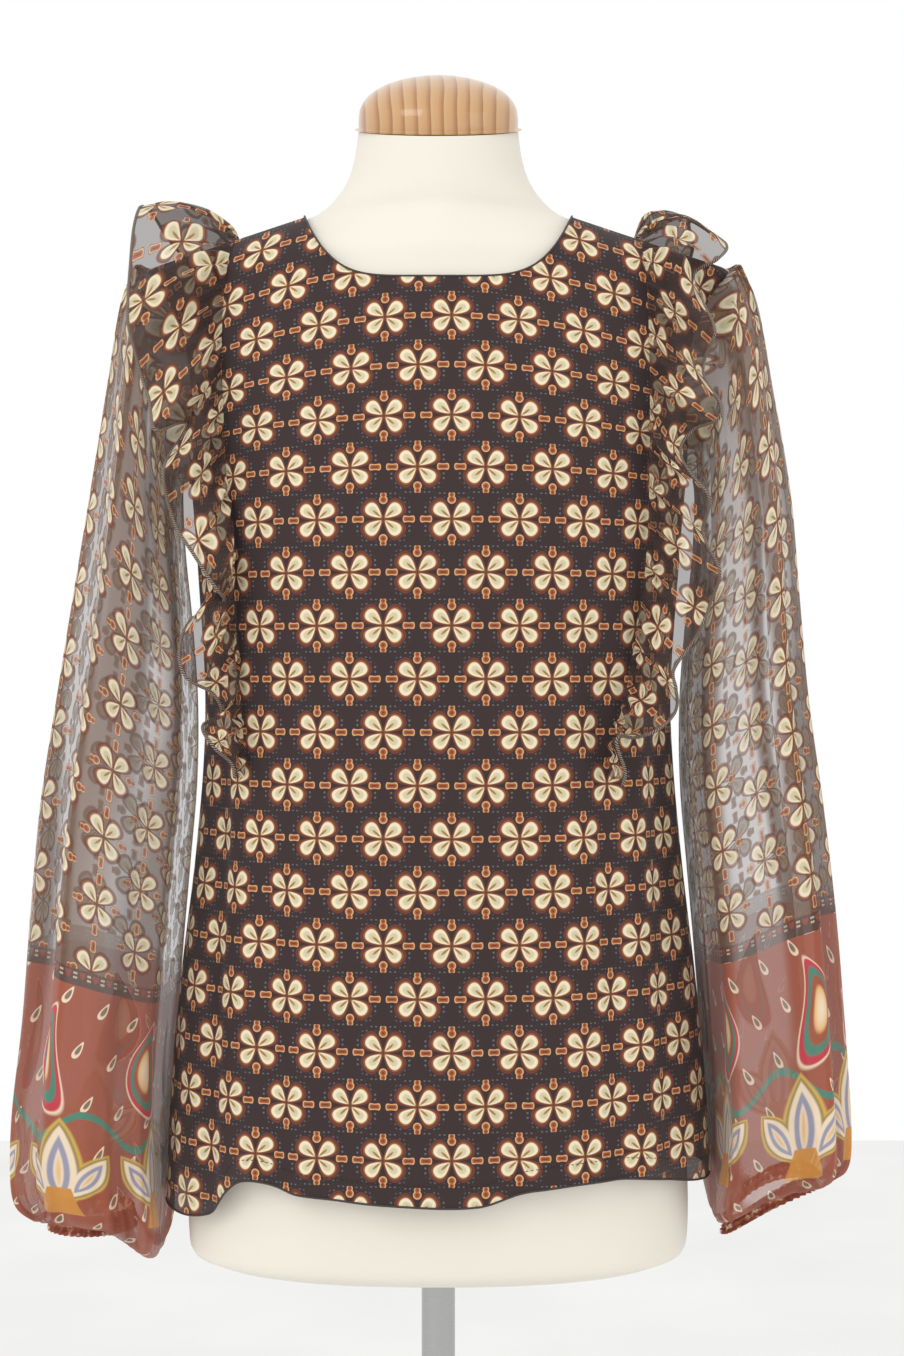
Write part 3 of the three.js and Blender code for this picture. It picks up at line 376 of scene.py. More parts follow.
def topHeight(across, side):
    share = abs(across) / neck["halfWidth"]
    if share >= 1:
        return shoulderHeight(across)
    if side < 0:
        return neck["pointHeight"] - neck["frontDrop"] * (1 - share ** neck["frontPower"])
    return neck["pointHeight"] - neck["backDrop"] * (1 - share ** neck["backPower"])


def hemHeight(across, side):
    row = along(hemRows, across)
    return reachOf(row, side)


# The armhole of one side of the body: its lowest height, and its edge's place across at each height
@lru_cache(maxsize=None)
def underarmHeight(sign):
    hem = hemHeight(sign * bodyRings[0]["halfWidth"], -1)
    return hem + armholes["underarmShare"] * (neck["tipHeight"] - hem)


def armholeAcross(sign, height):
    ring = bodyRing(round(min(height, neck["tipHeight"]), 6))
    rise = clamp((height - underarmHeight(sign)) / (neck["tipHeight"] - underarmHeight(sign)))
    depth = armholes["depthShare"] * max(math.sin(math.pi * rise), 0) ** armholes["roundness"]
    return sign * ring.halfWidth * (1 - depth**ring.squareness) ** (1 / ring.squareness)


def seamAcross(sign, height):
    row = along(seamRows, height)
    return sign * (row.right if sign < 0 else row.left)


# The length round a level section from its middle to a place across
def aroundLength(across, height, side):
    ring = bodyRing(height)
    reach = reachOf(ring, side)
    steps = 12
    total = 0
    last = (0.0, reach)
    for i in range(1, steps + 1):
        x = abs(across) * i / steps
        y = reach * max(1 - min(x / ring.halfWidth, 1) ** ring.squareness, 0) ** (1 / ring.squareness)
        total += math.hypot(x - last[0], y - last[1])
        last = (x, y)
    return math.copysign(total, across)


# The top and hem of one column of a panel, where across gives the column's place at each height
def columnEnds(side, across):
    top, hem = neck["tipHeight"], bodyRings[0]["height"]
    for _ in range(8):
        top = topHeight(across(top), side)
        hem = hemHeight(across(hem), side)
    return hem, top


def meshPiece(name, bm, *paints):
    mesh = bpy.data.meshes.new(name)
    bm.to_mesh(mesh)
    bm.free()
    piece = bpy.data.objects.new(name, mesh)
    bpy.context.scene.collection.objects.link(piece)
    for paint in paints:
        mesh.materials.append(paint.material)
    return piece


# A sheet of cloth from a flat grid. For each share across and up, place gives a point in space and lay its
# place on the flat cloth.
def clothSheet(name, columns, rows, place, lay, paint, shade=None, turned=False):
    bm = bmesh.new()
    bmesh.ops.create_grid(bm, x_segments=columns, y_segments=rows, size=0.5)
    flatMap = bm.loops.layers.uv.new("cloth")
    # Each point's share of doubled cloth and painted fold shade, which the sheer paints turn into higher
    # cover
    doubled = bm.verts.layers.float.new("doubled")
    shares = {vert: (clamp(vert.co.x + 0.5), clamp(vert.co.y + 0.5)) for vert in bm.verts}
    for face in bm.faces:
        face.smooth = True
        for loop in face.loops:
            loop[flatMap].uv = lay(*shares[loop.vert])
    for vert, (s, t) in shares.items():
        vert.co = place(s, t)
        vert[doubled] = shade(s, t) if shade else 0.0
    if turned:
        bmesh.ops.reverse_faces(bm, faces=bm.faces)
    return meshPiece(name, bm, paint)


def dress(piece, slotName, *nodes):
    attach(piece, "root")
    if nodes:
        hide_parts(*nodes)


# Materials
print("materials")


class Wire:
    def __init__(self, paint, socket):
        self.paint = paint
        self.socket = socket

    def math(self, operation, *others, clamp=False):
        values = dict(enumerate((self, *others)))
        return self.paint.add("ShaderNodeMath", {"operation": operation, "use_clamp": clamp}, values)

    def reflected(self, operation, other):
        return self.paint.add("ShaderNodeMath", {"operation": operation}, {0: other, 1: self})

    def __add__(self, other):
        return self.math("ADD", other)

    __radd__ = __add__

    def __sub__(self, other):
        return self.math("SUBTRACT", other)

    def __rsub__(self, other):
        return self.reflected("SUBTRACT", other)

    def __mul__(self, other):
        return self.math("MULTIPLY", other)

    __rmul__ = __mul__

    def __truediv__(self, other):
        return self.math("DIVIDE", other)

    def __rtruediv__(self, other):
        return self.reflected("DIVIDE", other)

    def __pow__(self, other):
        return self.math("POWER", other)

    def __mod__(self, other):
        return self.math("FLOORED_MODULO", other)

    def __abs__(self):
        return self.math("ABSOLUTE")


class Paint:
    def __init__(self, name):
        self.material = bpy.data.materials.new(name)
        self.material.use_nodes = True
        self.nodes = self.material.node_tree.nodes
        self.links = self.material.node_tree.links
        self.nodes.clear()

    def add(self, kind, settings=None, values=None, output=0):
        node = self.nodes.new(kind)
        for key, value in (settings or {}).items():
            if key == "stops":
                ramp = node.color_ramp
                while len(ramp.elements) < len(value):
                    ramp.elements.new(1)
                for element, (place, colour) in zip(ramp.elements, value):
                    element.position = place
                    element.color = colour
            else:
                setattr(node, key, value)
        for key, value in (values or {}).items():
            if isinstance(value, Wire):
                self.links.new(value.socket, node.inputs[key])
            else:
                node.inputs[key].default_value = value
        return Wire(self, node.outputs[output]) if node.outputs else None

    def noise(self, scale, detail=2.0):
        place = self.add("ShaderNodeTexCoord", {}, {}, 3)
        return self.add("ShaderNodeTexNoise", {}, {"Vector": place, "Scale": scale, "Detail": detail})

    def split(self, place):
        made = self.add("ShaderNodeSeparateXYZ", {}, {0: place})
        return [Wire(self, socket) for socket in made.socket.node.outputs]

    # The place on the flat cloth in millimetres
    def flat(self):
        place = self.add("ShaderNodeUVMap", {"uv_map": "cloth"})
        u, v, _ = self.split(place)
        return u * 1000, v * 1000

    def blend(self, share, below, above):
        values = {0: share, 6: below, 7: above}
        return self.add("ShaderNodeMix", {"data_type": "RGBA", "clamp_factor": True}, values, 2)

    def ramp(self, value, stops, output=0, interpolation="LINEAR"):
        made = self.add("ShaderNodeValToRGB", {"stops": stops}, {0: value}, output)
        made.socket.node.color_ramp.interpolation = interpolation
        return made

    def finish(self, values):
        shader = self.add("ShaderNodeBsdfPrincipled", {}, values)
        self.add("ShaderNodeOutputMaterial", {}, {0: shader})
        return self


# A colour as a picture shows it, from 0 to 255, with its cover
def ink(red, green, blue, cover=1.0):
    def linear(value):
        value /= 255
        return value / 12.92 if value <= 0.04045 else ((value + 0.055) / 1.055) ** 2.4

    return linear(red), linear(green), linear(blue), cover


# Colour stops by the names of a palette's inks
def tones(palette, names, places):
    return [(place, palette[name]) for place, name in zip(places, names.split())]


# Sizes on the flat cloth in millimetres: the repeat, and how far each motif lies from its flower's middle
printSizes = {"pitch": 41.7, "row": 32.4, "startAcross": -12.0, "startUp": 1006.0}
motif = {"petal": 7.5, "streak": 5.4, "bone": 15.6, "pearFoot": 11.9, "pearHead": 14.9, "dots": 16.2}
heartRow = {"up": 4.2, "pitch": 9.3, "middle": 2.6, "halfHeight": 5.6}
inks = {
    "ground": ink(62, 50, 50),
    "cream": ink(232, 220, 192),
    "olive": ink(206, 196, 160),
    "amber": ink(138, 88, 58),
    "umber": ink(80, 54, 48),
    "streak": ink(158, 120, 72),
    "sand": ink(212, 168, 120),
    "rust": ink(112, 62, 52),
    "clay": ink(164, 92, 56),
    "dot": ink(104, 114, 122),
    "berry": ink(168, 52, 52),
}


# The four-petalled repeat at a place on the cloth: its colour, and where ink covers the ground
def petalPrint(paint, u, v):
    row = ((v - printSizes["startUp"]) / printSizes["row"]).math("ROUND")
    half = printSizes["pitch"] / 2
    across = u - printSizes["startAcross"] + (row % 2.0) * half + half
    x = abs(across % printSizes["pitch"] - half)
    y = abs(v - printSizes["startUp"] - row * printSizes["row"])
    out = x * 0.76 + y * 0.65
    aside = x * 0.65 - y * 0.76
    petal = ((out - motif["petal"]) / 5.8) ** 2.0 + (aside / (out * 0.33 + 1.1)) ** 2.0
    streak = ((out - motif["streak"]) / 3.9) ** 2.0 + (aside / 0.9) ** 2.0
    boneX = x - motif["bone"]
    bone = (boneX / 3.7) ** 4.0 + (y / (boneX**2.0 * 0.09 + 1.8)) ** 2.0
    pearFoot = (x * x + (y - motif["pearFoot"]) ** 2.0) / 6.8
    pear = pearFoot.math("MINIMUM", (x * x + (y - motif["pearHead"]) ** 2.0) / 3.8)
    small = bone.math("MINIMUM", pear)
    petals = paint.ramp(
        petal * 0.45,
        tones(
            inks,
            "olive olive cream cream sand amber amber umber rust rust ground",
            (0, 0.12, 0.22, 0.38, 0.45, 0.49, 0.62, 0.67, 0.74, 0.92, 0.98),
        ),
    )
    heart = paint.ramp(streak, [(0.0, inks["streak"]), (0.3, inks["streak"]), (0.9, inks["olive"])])
    centred = paint.blend((1.0 - streak).math("MULTIPLY", 3.0, clamp=True), petals, heart)
    motifs = paint.ramp(
        small * 0.6,
        tones(
            inks,
            "rust clay clay sand sand rust ground",
            (0, 0.12, 0.26, 0.34, 0.56, 0.64, 0.8),
        ),
    )
    nearSmall = (1.4 - small).math("MULTIPLY", 4.0, clamp=True)
    inked = paint.blend(nearSmall, centred, motifs)
    spot = ((x % 2.9) - 1.45) ** 2.0 + ((y % 2.9) - 1.45) ** 2.0
    ring = abs((x * x + y * y).math("SQRT") - motif["dots"])
    dots = (0.55 - spot).math("MULTIPLY", 4.0, clamp=True) * (2.4 - ring).math("MULTIPLY", 2.0, clamp=True)
    clear = (petal - 2.3).math("MULTIPLY", 4.0, clamp=True) * (1 - nearSmall)
    coloured = paint.blend(dots * clear * 0.8, inked, inks["dot"])
    cover = (2.2 - petal).math("MULTIPLY", 2.5, clamp=True).math("MAXIMUM", nearSmall)
    return coloured, cover


def weave(paint, scale, strength, distance):
    crepe = paint.noise(scale, 2.0)
    return paint.add("ShaderNodeBump", {}, {"Strength": strength, "Distance": distance, "Height": crepe})


# The printed cloth. Haze colours its unprinted ground where it is sheer. The covers say how far the ground,
# the inks and a doubled layer hide what lies behind; the doubled share also carries painted fold shade.
def chiffon(name, turned, bordered, haze, groundCover, inkCover, doubledAndShadeCover):
    paint = Paint(name)
    u, v = paint.flat()
    if turned:
        u, v = v, u
    colour, cover = petalPrint(paint, u, v)
    if bordered:
        up = u - heartRow["up"]
        near = v % heartRow["pitch"] - heartRow["pitch"] / 2
        heart = near * near + (up - abs(near) * 0.8) ** 2.0
        pair = (abs(near) - 4.0) ** 2.0 + (abs(up) - 1.3) ** 2.0
        plain = (heartRow["halfHeight"] - abs(u - heartRow["middle"])).math("MULTIPLY", 4.0, clamp=True)
        colour = paint.blend(plain, colour, inks["ground"])
        colour = paint.blend((4.4 - heart).math("MULTIPLY", 1.5, clamp=True), colour, inks["berry"])
        colour = paint.blend((0.7 - pair).math("MULTIPLY", 3.0, clamp=True), colour, inks["cream"])
        cover = cover * (1 - plain) + plain * 0.6
    if groundCover < 0.9:
        colour = paint.blend(cover, haze, colour)
    values = {
        "Base Color": colour,
        "Roughness": 0.8,
        "Specular IOR Level": 0.15,
        "Sheen Weight": 0.06,
        "Sheen Roughness": 0.4,
        "Normal": weave(paint, 900, 0.25, 0.0004),
    }
    if groundCover < 1:
        # Cover rises with the doubled share, which is partly real doubled cloth and partly painted fold
        # shade
        doubled = paint.add("ShaderNodeAttribute", {"attribute_name": "doubled"}, {}, 2)
        thin = doubled * (doubledAndShadeCover - groundCover) + groundCover
        values["Alpha"] = thin + (cover * inkCover) * (1 - thin)
    return paint.finish(values)


printPaint = chiffon("lined_print", False, False, inks["ground"], 1, 1, 1)
sidePaint = chiffon("side_print", False, False, inks["ground"], 0.93, 0.6, 0.93)
sleevePaint = chiffon("sleeve_print", True, True, ink(112, 82, 62), 0.26, 0.58, 0.76)
rufflePaint = chiffon("ruffle_print", True, False, ink(72, 57, 53), 0.6, 0.75, 0.9)

borderInks = {
    "rust": ink(158, 84, 62),
    "sand": ink(226, 180, 120),
    "red": ink(190, 60, 72),
    "teal": ink(74, 130, 110),
    "cream": ink(236, 214, 186),
    "gold": ink(206, 170, 84),
    "slate": ink(150, 150, 170),
    "orange": ink(206, 140, 62),
    "olive": ink(142, 124, 72),
}

# How far each motif of the border lies below its line, and how much the border is drawn out
borderSizes = {"pitch": 65.0, "paisley": 44.0, "stem": 86.0, "lotus": 116.0, "wide": 1.18, "tall": 1.06}
borderWave = {"turn": 0.0967, "height": 10}


# The sleeve's border below its line, in millimetres: a plain repeat of paisleys, a stem and lotus flowers
def borderPrint(paint, u, v):
    down = 0 - v / borderSizes["tall"]
    u = u / borderSizes["wide"]
    column = (u / borderSizes["pitch"]).math("FLOOR")
    x = u - column * borderSizes["pitch"] - borderSizes["pitch"] / 2
    below = down - borderSizes["paisley"]
    curl = x + 12 - below * below * 0.009
    leaf = (curl / (below * 0.2 + 11)) ** 2.0 + ((below - 2) / 33) ** 2.0
    paisley = paint.ramp(
        leaf * 0.8,
        tones(
            borderInks,
            "cream sand rust rust teal teal red red cream cream",
            (0, 0.1, 0.16, 0.26, 0.32, 0.44, 0.5, 0.64, 0.7, 0.8),
        ),
    )
    far = abs(x - 3)
    low = down - borderSizes["lotus"]
    middle = far / 15 + ((low + 4) / 34) ** 2.0
    turnedX = (far - 16) * 0.8 + low * 0.6
    turnedY = low * 0.8 - (far - 16) * 0.6
    sidePetal = abs(turnedX) / 10.5 + (turnedY / 21) ** 2.0
    lotus = middle.math("MINIMUM", sidePetal)
    flower = paint.ramp(
        lotus * 0.8,
        tones(
            borderInks,
            "sand cream slate slate cream cream olive gold gold",
            (0, 0.12, 0.18, 0.3, 0.36, 0.5, 0.58, 0.68, 0.8),
        ),
    )
    wedge = (abs(low - 18) / 11).math("MAXIMUM", far / (4.5 + low * 0.28))
    base = (1.0 - wedge).math("MULTIPLY", 12.0, clamp=True)
    flower = paint.blend(base, flower, borderInks["orange"])
    dropX = (u + 0.5 * down) % 23.0 - 11.5
    dropY = (down * 0.9 - u * 0.2) % 26.0 - 13
    drop = (dropX / (2.2 + dropY * 0.22)) ** 2.0 + (dropY / 5.5) ** 2.0
    drops = paint.ramp(
        drop * 0.7,
        tones(
            borderInks,
            "teal rust cream cream rust",
            (0, 0.14, 0.3, 0.6, 0.68),
        ),
    )
    wave = (u * borderWave["turn"]).math("SINE") * borderWave["height"]
    stem = abs(down - borderSizes["stem"] - wave)
    stems = paint.blend((2.6 - stem).math("MULTIPLY", 2.0, clamp=True), drops, borderInks["teal"])
    withPaisley = paint.blend((1.0 - leaf).math("MULTIPLY", 8.0, clamp=True), stems, paisley)
    onFlower = (1.0 - lotus).math("MULTIPLY", 8.0, clamp=True).math("MAXIMUM", base)
    withFlower = paint.blend(onFlower, withPaisley, flower)
    line = (1.4 - down).math("MULTIPLY", 3.0, clamp=True)
    cover = (1.0 - leaf).math("MULTIPLY", 6.0, clamp=True).math("MAXIMUM", onFlower)
    return paint.blend(line, withFlower, borderInks["sand"]), cover


def borderChiffon(name, groundCover, inkCover, doubledAndShadeCover):
    paint = Paint(name)
    u, v = paint.flat()
    colour, cover = borderPrint(paint, u, v)
    # Cover rises with the doubled share, which is partly real doubled cloth and partly painted fold shade
    doubled = paint.add("ShaderNodeAttribute", {"attribute_name": "doubled"}, {}, 2)
    thin = doubled * (doubledAndShadeCover - groundCover) + groundCover
    return paint.finish(
        {
            "Base Color": colour,
            "Roughness": 0.8,
            "Specular IOR Level": 0.25,
            "Sheen Weight": 0.12,
            "Alpha": thin + (cover * inkCover) * (1 - thin),
            "Normal": weave(paint, 900, 0.25, 0.0004),
        }
    )


borderPaint = borderChiffon("border_print", 0.62, 0.5, 0.9)


def cuffCloth():
    paint = Paint("cuff_cloth")
    fleck = paint.noise(160.0)
    stops = [(0.35, borderInks["rust"]), (0.55, ink(176, 104, 80)), (0.64, borderInks["cream"])]
    colour = paint.ramp(fleck, stops)
    return paint.finish({"Base Color": colour, "Roughness": 0.85, "Normal": weave(paint, 1200, 0.3, 0.0004)})


cuffPaint = cuffCloth()


def jersey():
    paint = Paint("form_jersey")
    cloud = paint.noise(6.0, 3.0)
    colour = paint.ramp(cloud, [(0.3, ink(232, 226, 213)), (0.7, ink(238, 232, 220))])
    bump = weave(paint, 1600, 0.35, 0.0003)
    return paint.finish({"Base Color": colour, "Roughness": 0.9, "Sheen Weight": 0.2, "Normal": bump})


jerseyPaint = jersey()


def pine():
    paint = Paint("lacquered_pine")
    x, _, z = paint.split(paint.add("ShaderNodeTexCoord", {}, {}, 3))
    drift = paint.noise(14.0)
    bands = ((x * 1000 + (z - 1.25) * 30 + drift * 9) % 8.6) / 8.6
    grain = paint.ramp(
        bands,
        [
            (0.0, ink(204, 162, 112)),
            (0.55, ink(196, 150, 98)),
            (0.86, ink(170, 118, 68)),
            (0.95, ink(160, 106, 58)),
            (1.0, ink(204, 162, 112)),
        ],
    )
    return paint.finish({"Base Color": grain, "Roughness": 0.35, "Coat Weight": 0.8, "Coat Roughness": 0.06})


pinePaint = pine()


def steel():
    paint = Paint("brushed_steel")
    place = paint.add("ShaderNodeTexCoord", {}, {}, 3)
    stretched = paint.add("ShaderNodeMapping", {}, {0: place, "Scale": (40.0, 40.0, 900.0)})
    brushed = paint.add("ShaderNodeTexNoise", {}, {"Vector": stretched, "Scale": 1.0, "Detail": 2.0})
    rough = paint.ramp(brushed, [(0.3, (0.24, 0.24, 0.24, 1)), (0.7, (0.38, 0.38, 0.38, 1))])
    return paint.finish({"Base Color": ink(176, 176, 176), "Metallic": 1.0, "Roughness": rough})


steelPaint = steel()


def threadPaintOf(name, colour):
    paint = Paint(name)
    return paint.finish({"Base Color": colour, "Roughness": 0.6, "Normal": weave(paint, 2400, 0.4, 0.0003)})


darkThread = threadPaintOf("dark_thread", ink(52, 42, 42))
paleThread = threadPaintOf("pale_thread", ink(206, 196, 180))
rustThread = threadPaintOf("rust_thread", ink(120, 60, 46))
edgePaint = threadPaintOf("edge_cloth", inks["ground"])


def shell():
    paint = Paint("button_shell")
    cloud = paint.noise(300.0)
    colour = paint.ramp(cloud, [(0.3, ink(40, 32, 30)), (0.7, ink(66, 52, 48))])
    return paint.finish({"Base Color": colour, "Roughness": 0.3, "Coat Weight": 0.3})


shellPaint = shell()

# The body's panels
print("panels")
panelGrid = {
    "columns": 100,
    "sideColumns": 40,
    "backColumns": 150,
    "rows": 150,
    "shoulder": 0.12,
    "backShoulder": 0.24,
    "measuredTo": 1.12,
    "tilt": 1.3,
    "tiltFrom": 0.96,
    "tiltTo": 1.15,
}


# Columns that are even on the shoulders and crowd towards a column on each neck point
def neckColumn(s, start, end, shoulder):
    if s < shoulder:
        return mix(start, -neck["halfWidth"], s / shoulder)
    if s > 1 - shoulder:
        return mix(neck["halfWidth"], end, (s - 1 + shoulder) / shoulder)
    return -neck["halfWidth"] * math.cos(math.pi * (s - shoulder) / (1 - 2 * shoulder))


def panel(name, side, startEdge, endEdge, share, columns, paint, turned):
    @lru_cache(maxsize=None)
    def column(s):
        def across(height):
            return mix(startEdge(height), endEdge(height), share(s))

        return across, columnEnds(side, across)

    def place(s, t):
        across, (hem, top) = column(s)
        height = mix(hem, top, t)
        point = bodySurface(across(height), height, side)[0]
        point.y = side * max(side * point.y, 0)
        return point

    def lay(s, t):
        across, (hem, top) = column(s)
        height = mix(hem, top, t)
        measured = min(height, panelGrid["measuredTo"])
        u = aroundLength(across(measured), round(measured, 3), side)
        rise = panelGrid["tilt"] * smooth(height, panelGrid["tiltFrom"], panelGrid["tiltTo"])
        return u, height + rise * u * u

    return clothSheet(name, columns, panelGrid["rows"], place, lay, paint, turned=turned)


def neckedShare(startEdge, endEdge, shoulder):
    start, end = startEdge(neck["pointHeight"]), endEdge(neck["pointHeight"])
    return lambda s: (neckColumn(s, start, end, shoulder) - start) / (end - start)


def seam(sign):
    return lambda height: seamAcross(sign, height)


def armholeEdge(sign):
    return lambda height: armholeAcross(sign, height)


def evenShare(s):
    return s


def sideFront(name, sign, turned):
    columns = panelGrid["sideColumns"]
    return panel(name, -1, seam(sign), armholeEdge(sign), evenShare, columns, sidePaint, turned)


frontShare = neckedShare(seam(-1), seam(1), panelGrid["shoulder"])
backShare = neckedShare(armholeEdge(-1), armholeEdge(1), panelGrid["backShoulder"])
backEdges = armholeEdge(-1), armholeEdge(1)
frontCloth = panel("front_cloth", -1, seam(-1), seam(1), frontShare, panelGrid["columns"], printPaint, False)
sideRightCloth = sideFront("side_front_right_cloth", -1, True)
sideLeftCloth = sideFront("side_front_left_cloth", 1, False)
backCloth = panel("back_cloth", 1, *backEdges, backShare, panelGrid["backColumns"], sidePaint, True)

slit = {
    "half": 0.0015,
    "length": 0.118,
    "middle": 0.0005,
    "spread": 0.0009,
    "below": 0.001,
    "taper": 0.01,
    "edgeGap": 0.0004,
    "edgeFoot": 0.004,
    "stitchGap": 0.004,
    "steps": 40,
}
slitFoot = neck["pointHeight"] - neck["backDrop"] - slit["length"]


# Opens the slit at the back's neck: the middle faces go, and the columns beside them close up to its edges
def openSlit(piece):
    bm = bmesh.new()
    bm.from_mesh(piece.data)
    near = round(min(vert.co.x for vert in bm.verts if vert.co.x > slit["middle"]), 4)
    middles = [(face, face.calc_center_median()) for face in bm.faces]
    inside = [face for face, middle in middles if abs(middle.x) < near and middle.z > slitFoot]
    sides = [vert for vert in bm.verts if abs(abs(vert.co.x) - near) < slit["spread"]]
    bmesh.ops.delete(bm, geom=inside, context="FACES")
    for vert in sides:
        if vert.co.z > slitFoot - slit["below"]:
            width = mix(near, slit["half"], smooth(vert.co.z, slitFoot, slitFoot + slit["taper"]))
            vert.co.x = math.copysign(width, vert.co.x)
    bmesh.ops.delete(bm, geom=[vert for vert in bm.verts if not vert.link_faces], context="VERTS")
    bm.to_mesh(piece.data)
    bm.free()


openSlit(backCloth)
dress(frontCloth, "printed_chiffon", "front_panel")
dress(sideRightCloth, "printed_chiffon", "side_front_right")
dress(sideLeftCloth, "printed_chiffon", "side_front_left")
dress(backCloth, "printed_chiffon", "back_panel")

# Sleeves and cuffs
print("sleeves")
sleeveGrid = {
    "columns": 288,
    "rows": 150,
    "folds": 6,
    "gathers": 30,
    "flatWidth": 0.52,
    "clearance": 0.0035,
    "squareness": 3.4,
    "headSquareness": 2.2,
    "innerCalm": 0.7,
    "drift": 2.4,
    "headLength": 0.012,
}
typicalSection = {"across": 0.042, "deep": 0.086, "steps": 2400}
sleeveLast = rightSleeveSections[-1]["row"]
cuffCut = {
    "columns": 320,
    "rows": 14,
    "ripples": 42,
    "width": 0.3,
    "height": 0.014,
    "softness": 0.6,
    "uneven": 0.4,
    "pinch": 0.0009,
}


def clearOfBody(point, sign):
    ring = bodyRing(round(point.z, 5))
    share = min(abs(point.y) / reachOf(ring, point.y), 1)
    limit = ring.halfWidth * (1 - share**ring.squareness) ** (1 / ring.squareness) + sleeveGrid["clearance"]
    if point.z < neck["tipHeight"] and sign * point.x < limit:
        point.x = sign * limit
    return point


def squared(value, squareness):
    return math.copysign(abs(value) ** (2 / squareness), value)


# Turns that lie evenly round a typical squared section of a sleeve
@lru_cache(maxsize=None)
def evenTurns(squareness):
    steps = typicalSection["steps"]
    spots = []
    for i in range(steps + 1):
        turn = 2 * math.pi * i / steps
        across = typicalSection["across"] * squared(math.cos(turn), squareness)
        spots.append((across, typicalSection["deep"] * squared(math.sin(turn), squareness)))
    lengths = [0.0]
    for a, b in zip(spots, spots[1:]):
        lengths.append(lengths[-1] + math.dist(a, b))
    turns = []
    k = 0
    for j in range(sleeveGrid["columns"] + 1):
        want = lengths[-1] * j / sleeveGrid["columns"]
        while k < steps - 1 and lengths[k + 1] < want:
            k += 1
        turns.append(2 * math.pi * (k + (want - lengths[k]) / (lengths[k + 1] - lengths[k])) / steps)
    return turns


# A point of a sleeve's section. The turn starts at the outer end and passes the front first. The waves fade
# towards the inner end by the share innerCalm.
def sectionPoint(section, turn, sign, ripples, squareness=2.0, innerCalm=0.0):
    share = (1 + squared(math.cos(turn), squareness)) / 2
    depth = section.front if math.sin(turn) > 0 else section.back
    calm = 0.75 + 0.25 * math.sin(2 * turn + sign)
    wave = section.folds * calm * math.sin(sleeveGrid["folds"] * turn + 0.9 * sign)
    wave += section.gathers * math.sin(ripples * turn + 1.5 * math.sin(3 * turn))
    wave *= 1 - innerCalm * smooth(-math.cos(turn), 0.5, 0.97)
    return Vector(
        (
            sign * (mix(section.inX, section.outX, share) + wave * math.cos(turn)),
            -squared(math.sin(turn), squareness) * (depth + wave),
            mix(section.outZ, section.inZ, (1 - share) ** section.hang),
        )
    )


@lru_cache(maxsize=None)
def armholePoint(turn, sign):
    height = mix(underarmHeight(sign), neck["tipHeight"], (1 + math.cos(turn)) / 2)
    side = -1 if math.sin(turn) >= 0 else 1
    return bodySurface(armholeAcross(sign, height), height, side)[0]


def sleevePoint(sections, row, turn, sign):
    boxy = smooth(row, 0, 2.5) * smooth(sleeveLast - row, 0, 3)
    squareness = mix(sleeveGrid["headSquareness"], sleeveGrid["squareness"], boxy)
    section = along(sections, max(row, 0))
    point = sectionPoint(section, turn, sign, sleeveGrid["gathers"], squareness, sleeveGrid["innerCalm"])
    point = clearOfBody(point, sign)
    return point if row >= 0 else armholePoint(round(turn, 6), sign).lerp(point, row + 1)


# The mean length down a sleeve at each of its rows
def sleeveLengths(sections):
    lengths = [0.0, sleeveGrid["headLength"]]
    for above, below in zip(sections, sections[1:]):
        outer = math.hypot(below["outX"] - above["outX"], below["outZ"] - above["outZ"])
        inner = math.hypot(below["inX"] - above["inX"], below["inZ"] - above["inZ"])
        lengths.append(lengths[-1] + (outer + inner) / 2)
    return lengths


def downLength(lengths, row):
    i = min(int(row + 1), len(lengths) - 2)
    return mix(lengths[i], lengths[i + 1], row + 1 - i)


def sleeve(name, sign, sections, borderLine, upperPaint, borderPaint):
    lengths = sleeveLengths(sections)
    borderStart = downLength(lengths, borderLine)

    def row(t):
        return mix(sleeveLast, -1, t)

    columns, rows = sleeveGrid["columns"], sleeveGrid["rows"]
    turns = evenTurns(sleeveGrid["squareness"])

    def turnAt(s):
        return turns[(round(s * columns) + columns // 2) % columns]

    def place(s, t):
        return sleevePoint(sections, row(t), turnAt(s), sign)

    def lay(s, t):
        return (s - 0.5) * sleeveGrid["flatWidth"], borderStart - downLength(lengths, row(t))

    # Painted fold shade and doubled cloth: cover rises along bands that follow the sleeve's folds, and at
    # its head. This is partly real doubled cloth in the pleats and partly painted shade darkening the sheer
    # cloth in its folds
    def doubled(s, t):
        turn = turnAt(s)
        drift = sleeveGrid["drift"] * uneven(turn * 0.8, row(t) * 0.22, sign * 3)
        band = math.sin(sleeveGrid["folds"] * turn + 0.9 * sign + drift)
        head = 1 - smooth(row(t), -1, 4.5)
        return clamp(smooth(band, -0.1, 0.9) + 0.7 * head)

    piece = clothSheet(name, columns, rows, place, lay, upperPaint, doubled, sign > 0)
    piece.data.materials.append(borderPaint.material)
    flat = piece.data.uv_layers["cloth"].data
    for face in piece.data.polygons:
        middle = sum(flat[i].uv.y for i in face.loop_indices) / face.loop_total
        face.material_index = 1 if middle < 0 else 0
    return piece


# How deep a cuff's ripples are at a share of the way round
def cuffDepth(share, sign):
    return cuffCut["softness"] * (1 + cuffCut["uneven"] * uneven(share * 30, sign))


def cuff(name, sign, sections, paint):
    def place(s, t):
        row = mix(sections[-1]["row"], 0, t)
        turn = 2 * math.pi * (s + 0.5)
        section = along(sections, row)
        section.gathers *= cuffDepth(s, sign)
        pinch = cuffCut["pinch"] * math.cos(4 * math.pi * t)
        point = sectionPoint(section, turn, sign, cuffCut["ripples"])
        return point + Vector((sign * math.cos(turn), -math.sin(turn), 0)) * pinch

    def lay(s, t):
        return s * cuffCut["width"], t * cuffCut["height"]

    return clothSheet(name, cuffCut["columns"], cuffCut["rows"], place, lay, paint, turned=sign > 0)


